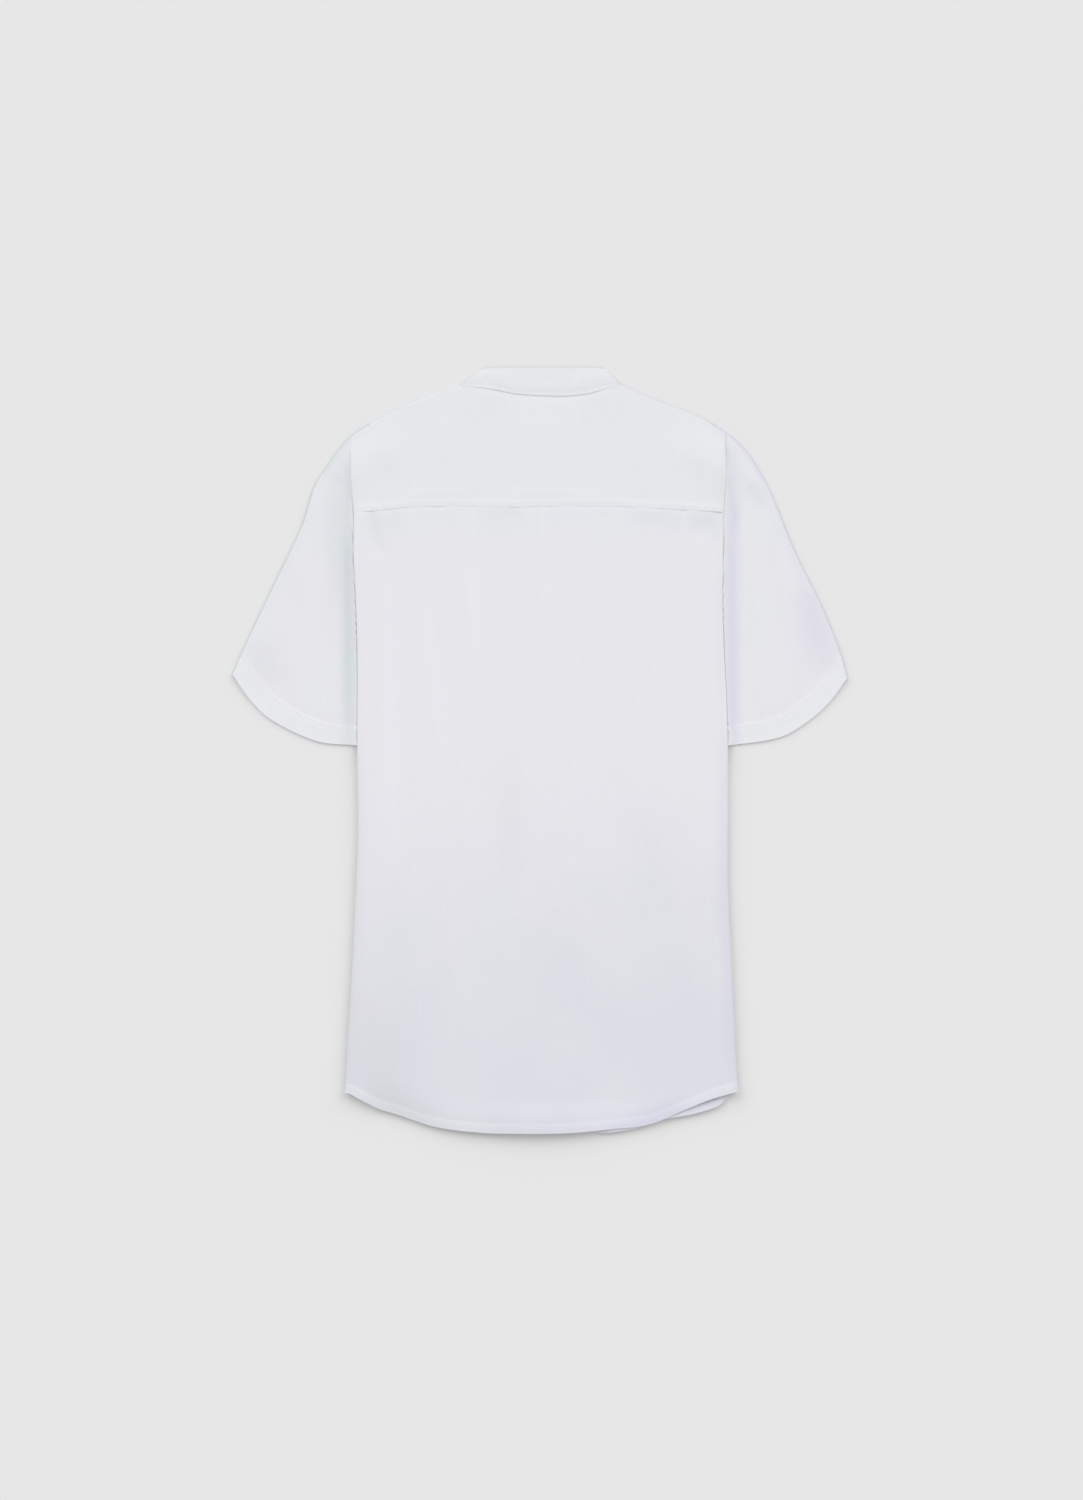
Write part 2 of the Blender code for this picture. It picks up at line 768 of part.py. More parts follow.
def fold_points(centre, direction, top, bottom, steps, downwards):
    """The points round a fold between a top and a bottom layer, without its two ends."""
    radius = (top - bottom) / 2.0
    points = []
    for step in range(1, steps):
        angle = math.pi * step / steps
        x, y = shifted(centre, direction, radius * math.sin(angle))
        rise = radius * math.cos(angle) * (1.0 if downwards else -1.0)
        points.append((x, y, bottom + radius + rise))
    return points


def make_sleeve(side, parts, holder):
    plan = SleevePlan(side)
    surface = Surface()
    previous = None
    for along in even_stops(SLEEVE_ALONG):
        crest = plan.fold_height(along)
        row = []
        for across in even_stops(SLEEVE_ACROSS):
            rise = (crest - SLEEVE_RESTING) * (1.0 - smooth_step(0.0, SLEEVE_FOLD_REACH, across))
            row.append((*plan.point(across, along), SLEEVE_RESTING + rise))
        inner = plan.inner(along)
        row.extend(fold_points(inner, (-side, 0.0), SLEEVE_RESTING, FLOOR_LAYER, SLEEVE_ROLL_STEPS, True))
        for across in reversed(even_stops(SLEEVE_ACROSS)):
            row.append((*plan.point(across, along), FLOOR_LAYER))
        outer = plan.outer(along)
        direction = plan.fold_direction(along)
        row.extend(fold_points(outer, direction, crest, FLOOR_LAYER, SLEEVE_ROLL_STEPS, False))
        if side < 0:
            row.reverse()
        numbers = surface.add_row(row)
        if previous:
            surface.join(numbers, previous, closed=True)
        previous = numbers
    name = "left_sleeve" if side < 0 else "right_sleeve"
    return cloth_object(name, surface, CLOTH, parts, holder)


# --- Collar ----------------------------------------------------------------------------------------------


def collar_fold_base(side, up):
    """Where the collar folds over at its side, up being 0 at the seam and 1 at the free edge."""
    top = COLLAR_LEFT_TOP if side < 0 else COLLAR_RIGHT_TOP
    inset = (COLLAR_TOP_HEIGHT - FLOOR_LAYER) / 2.0 + BAND_CLOTH / 2.0
    free = shifted((top.x, top.y), (side * NECK_FOLD[0], NECK_FOLD[1]), -inset)
    return mix_points(neck_corner(side), free, up)


def collar_back_point(across, up):
    """A point of the back half, across being 0 at the left fold and 1 at the right."""
    base_x, base_y = neck_seam_point(across)
    base_y += SEAM_GAP / 2.0 * (1.0 - at_neck_ends(across))
    free_x, ends_y = mix_points(collar_fold_base(-1, 1.0), collar_fold_base(1, 1.0), across)
    free_y = mix(COLLAR_TOP_Y, ends_y, at_neck_ends(across))
    x, y = mix_points((base_x, base_y), (free_x, free_y), up)
    return (x, y, mix(NECK_HEIGHT, COLLAR_TOP_HEIGHT, up))


def collar_front_point(side, down, up):
    """A point of a front half, down being 0 at the side fold and 1 at centre front."""
    angle = math.pi / 2.0 * down
    base, free = collar_fold_base(side, 0.0), collar_fold_base(side, 1.0)
    start = mix_points(base, free, up)
    lowest = FRONT_NECK_Y + BAND_HEIGHT * up
    x = max(abs(start[0]) * math.cos(angle), BAND_END_X)
    y = start[1] - (start[1] - lowest) * math.sin(angle)
    z = BAND_CLOTH / 2.0 + placket_lift(side, side * x)
    return (side * x, y, z)


def collar_side_columns(side, up_stops):
    """The columns of one side, from centre front to just before the back half."""
    columns = []
    for down in reversed(even_stops(FRONT_NECK_STEPS)):
        columns.append([collar_front_point(side, down, up) for up in up_stops])
    for step in range(1, ROLL_STEPS):
        column = []
        for up in up_stops:
            top = mix(NECK_HEIGHT, COLLAR_TOP_HEIGHT, up)
            centre = collar_fold_base(side, up)
            direction = (side * NECK_FOLD[0], NECK_FOLD[1])
            fold = fold_points(centre, direction, top, BAND_CLOTH / 2.0, ROLL_STEPS, False)
            column.append(fold[step - 1])
        columns.append(column)
    return columns


def make_collar_band(parts, holder):
    up_stops = even_stops(COLLAR_UP_STEPS)
    columns = collar_side_columns(-1, up_stops)
    for across in even_stops(NECK_STEPS):
        columns.append([collar_back_point(across, up) for up in up_stops])
    columns.extend(reversed(collar_side_columns(1, up_stops)))
    surface = Surface()
    previous = None
    for column in columns:
        numbers = surface.add_row(column)
        if previous:
            surface.join(numbers, previous)
        previous = numbers
    return cloth_object("collar_band", surface, BAND_CLOTH, parts, holder)


# --- Buttons ---------------------------------------------------------------------------------------------


def button_mesh():
    """Half of a button's section, turned round its axis: a flat back above, against the placket, and a
    dished face below."""
    section = [
        (0.0, BUTTON_THICKNESS),
        (BUTTON_RADIUS - BUTTON_RIM / 2.0, BUTTON_THICKNESS),
        (BUTTON_RADIUS, BUTTON_THICKNESS / 2.0),
        (BUTTON_RADIUS - BUTTON_RIM, 0.0),
        (BUTTON_RADIUS - 2.0 * BUTTON_RIM, BUTTON_DISH),
        (0.0, BUTTON_DISH),
    ]
    mesh = bpy.data.meshes.new("button")
    edges = [(index, index + 1) for index in range(len(section) - 1)]
    mesh.from_pydata([(radius * MM, 0.0, height * MM) for radius, height in section], edges, [])
    return mesh


def make_button(number, parts, holder):
    name = "button_" + str(number)
    mesh = button_mesh()
    mesh.materials.append(plain_material(name + "_shell", WHITE_BUTTON, BUTTON_ROUGHNESS))
    button = place(bpy.data.objects.new(name, mesh), parts, holder)
    y = BUTTON_TOP_Y - BUTTON_SPACING * (number - 1)
    button.location = (0.0, y * MM, 0.0)
    turn = button.modifiers.new("turn", "SCREW")
    turn.axis = "Z"
    turn.steps = BUTTON_STEPS
    turn.render_steps = BUTTON_STEPS
    turn.use_merge_vertices = True
    turn.merge_threshold = 0.00001
    turn.use_smooth_shade = True
    return button


def main():
    for old in list(bpy.data.objects):
        bpy.data.objects.remove(old, do_unlink=True)
    parts = bpy.data.collections.new("mandarin_collar_shirt")
    bpy.context.scene.collection.children.link(parts)
    holder = bpy.data.objects.new("shirt_frame", None)
    holder.location = (-CENTRE_X * MM, -CENTRE_Y * MM, 0.0)
    parts.objects.link(holder)

    make_back_panel(parts, holder)
    make_back_yoke(parts, holder)
    make_collar_band(parts, holder)
    for side in (-1, 1):
        make_front(side, parts, holder)
        make_sleeve(side, parts, holder)
    for number in range(1, BUTTON_COUNT + 1):
        make_button(number, parts, holder)


main()
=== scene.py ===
import math

import bmesh
import bpy
import numpy as np
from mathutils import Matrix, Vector
from mathutils.geometry import delaunay_2d_cdt


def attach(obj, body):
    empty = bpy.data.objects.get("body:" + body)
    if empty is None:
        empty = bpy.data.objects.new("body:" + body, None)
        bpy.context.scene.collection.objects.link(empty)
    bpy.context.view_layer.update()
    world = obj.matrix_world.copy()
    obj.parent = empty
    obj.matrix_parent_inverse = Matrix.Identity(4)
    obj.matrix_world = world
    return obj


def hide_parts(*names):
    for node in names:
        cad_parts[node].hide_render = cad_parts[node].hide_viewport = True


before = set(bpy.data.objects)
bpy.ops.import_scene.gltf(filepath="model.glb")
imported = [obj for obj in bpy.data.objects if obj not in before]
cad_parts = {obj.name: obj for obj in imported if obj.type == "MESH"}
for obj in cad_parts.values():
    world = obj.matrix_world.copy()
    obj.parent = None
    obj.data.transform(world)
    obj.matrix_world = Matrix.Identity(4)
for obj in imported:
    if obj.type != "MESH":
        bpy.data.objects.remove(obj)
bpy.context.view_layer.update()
print("frame loaded")

mm = 0.001
middleX = 1.0   # the shirt's own middle line stands this far to the right of the frame's middle


def addObject(name, data):
    made = bpy.data.objects.new(name, data)
    bpy.context.scene.collection.objects.link(made)
    return made


def joinFrame(piece, slot, *nodes):
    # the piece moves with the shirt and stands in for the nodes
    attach(piece, "root")
    if nodes:
        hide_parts(*nodes)
    return piece


# nodes and materials


def fillInputs(tree, node, inputs):
    # a socket is linked, and anything else is set as a plain value
    for name, value in inputs.items():
        if isinstance(value, bpy.types.NodeSocket):
            tree.links.new(value, node.inputs[name])
        else:
            node.inputs[name].default_value = value


def addNode(tree, kind, place, inputs=None, **settings):
    node = tree.nodes.new(kind)
    node.location = place
    for name, value in settings.items():
        setattr(node, name, value)
    fillInputs(tree, node, inputs or {})
    return node


def mathNode(tree, operation, place, *values):
    return addNode(tree, "ShaderNodeMath", place, dict(enumerate(values)), operation=operation).outputs[0]


def vectorNode(tree, operation, place, inputs):
    return addNode(tree, "ShaderNodeVectorMath", place, inputs, operation=operation).outputs[0]


def noiseNode(tree, vector, place, scale, detail, stretch=(1.0, 1.0, 1.0), roughness=0.5):
    mapping = addNode(tree, "ShaderNodeMapping", (place[0] - 200, place[1]), {"Vector": vector, "Scale": stretch})
    return addNode(tree, "ShaderNodeTexNoise", place, {
        "Vector": mapping.outputs["Vector"], "Scale": scale, "Detail": detail, "Roughness": roughness,
    }).outputs["Fac"]


def mixColours(tree, blend, place, factor, first, second):
    return addNode(tree, "ShaderNodeMix", place, {0: factor, 6: first, 7: second},
                   data_type="RGBA", blend_type=blend).outputs[2]


def mapRange(tree, place, value, low, high, first, last, smooth=True):
    return addNode(tree, "ShaderNodeMapRange", place, {0: value, 1: low, 2: high, 3: first, 4: last},
                   interpolation_type="SMOOTHSTEP" if smooth else "LINEAR").outputs[0]


def bumpNormal(tree, place, height, strength, distance):
    return addNode(tree, "ShaderNodeBump", place, {
        "Height": height, "Strength": strength, "Distance": distance,
    }).outputs["Normal"]


def newTree(name, kind, inputs, result):
    # inputs are (name, kind of socket, starting value), and what comes out is (name, kind of socket)
    tree = bpy.data.node_groups.new(name, kind)
    for socket, form, value in inputs:
        made = tree.interface.new_socket(name=socket, in_out="INPUT", socket_type="NodeSocket" + form)
        if value is not None:
            made.default_value = value
    for socket, form in result:
        tree.interface.new_socket(name=socket, in_out="OUTPUT", socket_type="NodeSocket" + form)
    given = addNode(tree, "NodeGroupInput", (-1600, 0)).outputs
    return tree, given, addNode(tree, "NodeGroupOutput", (900, 0))


def newMaterial(name):
    material = bpy.data.materials.new(name)
    material.use_nodes = True
    return material, material.node_tree, material.node_tree.nodes["Principled BSDF"]


# the camera, the floor and the light

stageSizes = {
    "viewX": 1.5,             # where the camera looks, mm
    "viewY": 0.5,
    "viewHeight": 1500.0,     # what the picture's long side takes in, mm
    "lens": 90.0,
    "sensor": 36.0,
    "focusHeight": 4.0,       # the level that the view's height is measured at, mm
    "farthest": 100.0,        # metres
    "floorSize": 9.0,         # metres
    "floorLevel": -0.0001,    # metres
    "floorGrey": (0.815, 0.815, 0.815, 1.0),
    "skyLight": 0.64,
    "suns": [                 # power, degrees from straight down, degrees round from the collar's side, colour
        (0.98, 57.0, -50.0, (0.985, 1.01, 0.985)),
        (0.98, 57.0, 50.0, (1.015, 0.99, 1.015)),
    ],
    "sunSoftness": 46.0,      # degrees
}


def makeStage(sizes):
    scene = bpy.context.scene
    scene.view_settings.view_transform = "Standard"
    camera = addObject("studioCamera", bpy.data.cameras.new("studioCamera"))
    camera.data.lens = sizes["lens"]
    camera.data.sensor_width = sizes["sensor"]
    camera.data.clip_end = sizes["farthest"]
    distance = sizes["viewHeight"] * sizes["lens"] / sizes["sensor"] + sizes["focusHeight"]
    camera.location = (sizes["viewX"] * mm, sizes["viewY"] * mm, distance * mm)
    scene.camera = camera

    world = bpy.data.worlds.new("studioSky")
    world.use_nodes = True
    fillInputs(world.node_tree, world.node_tree.nodes["Background"], {
        "Color": (1.0, 1.0, 1.0, 1.0), "Strength": sizes["skyLight"],
    })
    scene.world = world

    for power, tilt, turn, colour in sizes["suns"]:
        sun = addObject("softSun", bpy.data.lights.new("softSun", "SUN"))
        sun.data.energy = power
        sun.data.color = colour
        sun.data.angle = math.radians(sizes["sunSoftness"])
        sun.rotation_euler = (-math.radians(tilt), 0.0, -math.radians(turn))

    half, level = sizes["floorSize"] / 2.0, sizes["floorLevel"]
    mesh = bpy.data.meshes.new("paleFloor")
    corners = [(-half, -half, level), (half, -half, level), (half, half, level), (-half, half, level)]
    mesh.from_pydata(corners, [], [(0, 1, 2, 3)])
    paper, tree, shader = newMaterial("palePaper")
    fillInputs(tree, shader, {"Base Color": sizes["floorGrey"], "Roughness": 1.0, "Specular IOR Level": 0.0})
    mesh.materials.append(paper)
    addObject("paleFloor", mesh)


makeStage(stageSizes)
print("stage ready")

# lines of the pattern, in millimetres from the shirt's own middle line, x to the right and y up to the collar

sideRows = [   # y, left edge, right edge of the body with its sides folded under
    (-342, -196.0, 197.0), (-302, -194.0, 194.7), (-246, -190.5, 192.0), (-190, -187.5, 189.5),
    (-134, -185.0, 187.0), (-79, -183.0, 187.0), (5, -184.0, 187.0), (60, -183.8, 185.3),
    (105, -184.0, 183.0), (152, -185.4, 181.7), (200, -187.6, 182.2), (245, -187.4, 182.8),
    (295, -190.2, 183.4), (320, -190.6, 184.4),
]
backHemRows = [
    (-196, -342.5), (-167, -357.5), (-148, -363.5), (-108, -376.0), (-64, -381.5), (-35, -382.5),
    (27, -382.0), (69, -378.5), (111, -373.5), (148, -358.5), (173, -348.5), (197, -341.5),
]
underHemRows = [
    (-196, -342.5), (-150, -359.0), (-110, -372.0), (-60, -378.5), (40, -379.5), (60, -382.4),
    (93, -377.6), (120, -369.0), (148, -364.0), (165, -359.5), (181, -354.0), (197, -341.5),
]
yokeSeamRows = [
    (-186, 238.8), (-158, 241.4), (-137, 243.8), (-96, 245.4), (-60, 245.0), (-40, 244.4),
    (65, 245.4), (119, 242.9), (184, 239.2),
]
neckSeamRows = [
    (-80, 366.0), (-50, 362.5), (-27, 358.0), (-3, 356.0), (25, 355.5), (51, 358.5), (77, 366.5),
]
outlineRows = {   # from the neck over the shoulder and down the sleeve's fold to its tip
    -1: [
        (-79, 365.5), (-118, 353.5), (-151, 337.5), (-176, 324.5), (-190, 314.5), (-200, 304.5),
        (-215, 283.5), (-227, 263.5), (-239, 225.5), (-269, 162.5), (-296, 105.5), (-309, 75.5),
    ],
    1: [
        (78, 366.5), (120, 348.5), (159, 333.5), (187, 316.5), (198, 307.5), (208, 296.5),
        (218, 280.5), (230, 257.5), (256, 194.5), (280, 146.5), (298, 102.5), (307, 72.0),
    ],
}
sleeveHemRows = {   # from the tip to the corner beneath the body
    -1: [(-309, 75.5), (-291, 50.5), (-269, 30.5), (-223, 9.5), (-184, 5.5), (-170, 5.0)],
    1: [(307, 72.0), (288, 47.5), (266, 28.5), (239, 13.5), (189, 5.5), (172, 5.0)],
}
collarTops = {-1: (-60, 382.0), 1: (64, 382.5)}
collarTopY = 383.0
neckFold = (0.6, 0.8)   # which way the neck's corner folds over, in plan

heights = {   # of the middle of the cloth above the floor
    "floorLayer": 0.5,
    "collarFront": 0.6,
    "backResting": 4.4,
    "backOverPlacket": 5.6,
    "sideCrest": 7.8,
    "hemCrest": 8.6,
    "shoulderCrest": 3.7,
    "neck": 5.0,
    "collarTop": 5.6,
    "yokeStep": 0.25,
    "sleeveResting": 2.0,
    "sleeveFold": 3.0,
    "tuckOverSleeve": 3.3,
}
crestWidth = 95.0
crestRise = (-60.0, -300.0)   # where the side's crest grows to that of the hem
tuckAtArmhole = 13.0
sideSeamXs = (156.0, 167.0)   # at the underarm and at the hem
tuckDrop = (2.0, -27.0)
armholeX = 171.5
shoulderSlopeWidth = 45.0
frontNeckY = 285.0
bandHeight = 27.0
bandEndX = 1.5
frontYokeDepth = 28.0
placketHalf = 14.0
placketFlatHalf = 15.0
placketRampEnd = 43.0
ridgeEnd = 60.0
placketLifts = {-1: 2.3, 1: 3.6}
underHemRise = 4.4
underHemReach = 30.0
underHemShows = (34.0, 72.0, 176.0, 191.0)   # where the lower layer's curl starts, is full, wanes and ends
seamGap = 0.3
underarmY = 60.0
clothReach = 0.5   # half of the wall that folds are spaced for
cornerReach = 0.6   # the same at the neck's corners, where the collar is thicker
stitchReach = 0.9   # half width of the groove along a row of stitches


def mix(start, end, share):
    return start + (end - start) * share


def smoothStep(start, end, at):
    share = np.clip((np.asarray(at, float) - start) / (end - start), 0.0, 1.0)
    return share * share * (3.0 - 2.0 * share)


def bell(distance, width):
    return np.exp(-((distance / width) ** 2))


def throughRows(keys, values, at):
    # a smooth curve through a table whose keys rise
    keys, values = np.asarray(keys, float), np.asarray(values, float)
    at = np.clip(at, keys[0], keys[-1])
    index = np.clip(np.searchsorted(keys, at, side="right") - 1, 0, len(keys) - 2)
    slopes = np.empty(len(keys))
    slopes[1:-1] = (values[2:] - values[:-2]) / (keys[2:] - keys[:-2])
    slopes[0] = (values[1] - values[0]) / (keys[1] - keys[0])
    slopes[-1] = (values[-1] - values[-2]) / (keys[-1] - keys[-2])
    span = keys[index + 1] - keys[index]
    share = (at - keys[index]) / span
    rise = values[index + 1] - values[index]
    bend = mix(span * slopes[index] - rise, rise - span * slopes[index + 1], share)
    return mix(values[index], values[index + 1], share) + share * (1.0 - share) * bend


def lineY(rows, x):
    return throughRows([row[0] for row in rows], [row[1] for row in rows], x)


class PlanLine:
    # a smooth line in plan, measured by its share of the whole length

    def __init__(self, rows):
        self.line = np.array(rows, float)
        steps = np.hypot(*np.diff(self.line, axis=0).T)
        self.keys = np.concatenate([[0.0], np.cumsum(steps)])

    def point(self, share):
        at = np.asarray(share, float) * self.keys[-1]
        xs = throughRows(self.keys, self.line[:, 0], at)
        return np.stack([xs, throughRows(self.keys, self.line[:, 1], at)], axis=-1)

    def outward(self, share, side):
        share = np.asarray(share, float)
        along = self.point(np.minimum(share + 0.01, 1.0)) - self.point(np.maximum(share - 0.01, 0.0))
        along /= np.linalg.norm(along, axis=-1, keepdims=True)
        return np.stack([-side * along[..., 1], side * along[..., 0]], axis=-1)

    def shareAtX(self, x):
        shares = np.linspace(0.0, 1.0, 2001)
        return np.interp(np.abs(x), np.abs(self.point(shares)[:, 0]), shares)


# the lying shape that the body's pieces share


def sideX(side, y):
    return throughRows([row[0] for row in sideRows], [row[1 if side < 0 else 2] for row in sideRows], y)


def tuckHeight(y):
    return mix(heights["tuckOverSleeve"], heights["floorLayer"], smoothStep(*tuckDrop, y))


def sideSeamX(side, y):
    share = (y - tuckDrop[1]) / (sideRows[0][0] - tuckDrop[1])
    return side * mix(*sideSeamXs, share)


def tuckEndX(side, y):
    return mix(sideX(side, y) - side * tuckAtArmhole, sideSeamX(side, y), smoothStep(*tuckDrop, y))


def crestHeight(y):
    return mix(heights["sideCrest"], heights["hemCrest"], smoothStep(*crestRise, y))


def rollRadius(y):
    return (crestHeight(y) - tuckHeight(y)) / 2.0


def rollCentreX(side, y):
    return sideX(side, y) - side * (rollRadius(y) + clothReach)


def bodyHeight(x, y):
    inward = np.minimum(x - rollCentreX(-1, y), rollCentreX(1, y) - x)
    crest = (crestHeight(y) - heights["backResting"]) * (1.0 - smoothStep(0.0, crestWidth, inward))
    ridge = (heights["backOverPlacket"] - heights["backResting"]) * (
        1.0 - smoothStep(placketFlatHalf, ridgeEnd, np.abs(x)))
    return heights["backResting"] + crest + ridge


def seamEdges():
    y = yokeSeamRows[0][1]
    return float(rollCentreX(-1, y)), float(rollCentreX(1, y))


def seamY(share):
    return lineY(yokeSeamRows, mix(*seamEdges(), share))


def hemY(share):
    return lineY(backHemRows, mix(backHemRows[0][0], backHemRows[-1][0], share))


def neckX(side):
    return abs(outlineRows[side][0][0])


def foldWay(side):
    return np.array([side * neckFold[0], neckFold[1]])


def neckCorner(side):
    inset = (heights["neck"] - heights["floorLayer"]) / 2.0 + cornerReach
    return np.array(outlineRows[side][0], float) - inset * foldWay(side)


def atNeckEnds(share):
    return (2.0 * np.asarray(share) - 1.0) ** 8


def neckSeamPoint(share):
    corners = mix(neckCorner(-1), neckCorner(1), np.asarray(share, float)[..., None])
    y = mix(lineY(neckSeamRows, corners[..., 0]), corners[..., 1], atNeckEnds(share))
    return np.stack([corners[..., 0], y], axis=-1)


def shoulderShare(side, outX):
    return (outX - neckX(side)) / (armholeX - seamGap - neckX(side))


def shoulderPoint(side, outX):
    # the top layer's last point before the shoulder folds over
    path = PlanLine(outlineRows[side])
    edge = path.shareAtX(outX)
    inset = (heights["shoulderCrest"] - heights["floorLayer"]) / 2.0 + clothReach
    ys = (path.point(edge) - path.outward(edge, side) * inset)[..., 1]
    points = np.stack([side * outX, ys], axis=-1)
    corner = neckCorner(side) + 0.5 * np.array([side * neckFold[1], -neckFold[0]])
    reach = 1.0 - smoothStep(0.0, 0.08, shoulderShare(side, outX))
    return mix(points, corner, reach[..., None])


def shoulderDirection(side, outX):
    path = PlanLine(outlineRows[side])
    share = shoulderShare(side, outX)[..., None]
    turned = mix(foldWay(side), path.outward(path.shareAtX(outX), side), smoothStep(0.0, 0.25, share))
    turned = mix(turned, np.array([0.0, 1.0]), smoothStep(0.75, 1.0, share))
    return turned / np.linalg.norm(turned, axis=-1, keepdims=True)


def frontNeckPoint(side, turn, extra):
    # on the front neckline, turn being 0 at the neck's corner and 1 at centre front
    corner = neckCorner(side)
    angle = math.pi / 2.0 * np.asarray(turn, float)
    x = (abs(corner[0]) + extra) * np.cos(angle)
    y = corner[1] - (corner[1] - frontNeckY + extra) * np.sin(angle)
    return np.stack([side * x, y], axis=-1)


def frontYokeEnd(side):
    return shoulderPoint(side, np.array([armholeX - seamGap]))[0] - np.array([0.0, frontYokeDepth])


def placketLift(side, x):
    return placketLifts[side] * (1.0 - smoothStep(placketFlatHalf, placketRampEnd, side * x))


def underHemLift(x, away):
    # the lower layer's hem curls up to the right, where it shows below the upper one
    starts, full, wanes, ends = underHemShows
    across = smoothStep(starts, full, x) * smoothStep(ends, wanes, x)
    return underHemRise * across * smoothStep(underHemReach, 0.0, away)


# creases and the cloth's own unevenness


def creaseHeight(x, y, creases):
    # each crease is (height, half width, points); below 0 it is a trough
    total = np.zeros(x.shape)
    for height, width, points in creases:
        stops = PlanLine(points).point(np.linspace(0.0, 1.0, 4 * len(points) + 4))
        near = np.abs(x - stops[:, 0].mean()) < np.ptp(stops[:, 0]) / 2.0 + 40.0 + 3.0 * width
        px, py = x[near], y[near]
        best, share = np.full(px.shape, 1e9), np.zeros(px.shape)
        for number, (start, end) in enumerate(zip(stops[:-1], stops[1:])):
            along = end - start
            t = ((px - start[0]) * along[0] + (py - start[1]) * along[1]) / (along @ along)
            t = np.clip(t, 0.0, 1.0)
            gap = np.hypot(px - start[0] - t * along[0], py - start[1] - t * along[1])
            share = np.where(gap < best, (number + t) / (len(stops) - 1), share)
            best = np.minimum(best, gap)
        fade = np.sin(math.pi * np.clip(share, 0.0, 1.0)) ** 0.7
        total[near] += height * bell(best, width) * fade
    return total


def softNoise(x, y, sizeX, sizeY, seed):
    # even value noise from -1 to 1
    grid = np.random.default_rng(seed).random((64, 64)) * 2.0 - 1.0
    u, v = x / sizeX + 200.0, y / sizeY + 200.0
    iu, iv = np.floor(u).astype(int), np.floor(v).astype(int)
    fu, fv = smoothStep(0.0, 1.0, u - iu), smoothStep(0.0, 1.0, v - iv)
    low = mix(grid[iu % 64, iv % 64], grid[(iu + 1) % 64, iv % 64], fu)
    high = mix(grid[iu % 64, (iv + 1) % 64], grid[(iu + 1) % 64, (iv + 1) % 64], fu)
    return mix(low, high, fv)


def noiseAlong(along, size, seed):
    return softNoise(along, np.zeros_like(along), size, size, seed)


def clothRelief(x, y, creases, grains):
    # the listed creases, and the cloth's own unevenness
    return creaseHeight(x, y, creases) + sum(
        depth * softNoise(x, y, across, down, seed) for depth, across, down, seed in grains)


def puckers(along, away, seed, depth, pitch, reach):
    # short ripples that run off a sewn line and die out
    drift = away * 0.3
    ripple = softNoise(along, drift, pitch, 14.0, seed) + 0.5 * softNoise(along, drift, pitch / 2.3, 9.0, seed + 1)
    return depth * ripple * np.exp(-np.abs(away) / reach)


# thin shells of cloth


def gridUv(points, column=0):
    # metres along the threads, across and down the grid
    across = np.linalg.norm(np.diff(points, axis=1), axis=-1)
    down = np.linalg.norm(np.diff(points, axis=0), axis=-1)
    u = np.concatenate([np.zeros((points.shape[0], 1)), np.cumsum(across, axis=1)], axis=1)
    v = np.concatenate([np.zeros((1, points.shape[1])), np.cumsum(down, axis=0)], axis=0)
    return np.stack([u - u[:, column:column + 1], -v], axis=-1) * mm


def rowShares(lengths, hemStops, count):
    # even rows down to the hem's zone, then rows at set distances from the hem
    lengths = np.asarray(lengths, float)[None, :]
    even = np.linspace(0.0, 1.0, count)[:, None] * (1.0 - hemStops[0] / lengths)
    return np.vstack([even, 1.0 - np.array(hemStops[1:])[:, None] / lengths])


def unitRows(vectors):
    return vectors / np.maximum(np.linalg.norm(vectors, axis=1, keepdims=True), 1e-12)


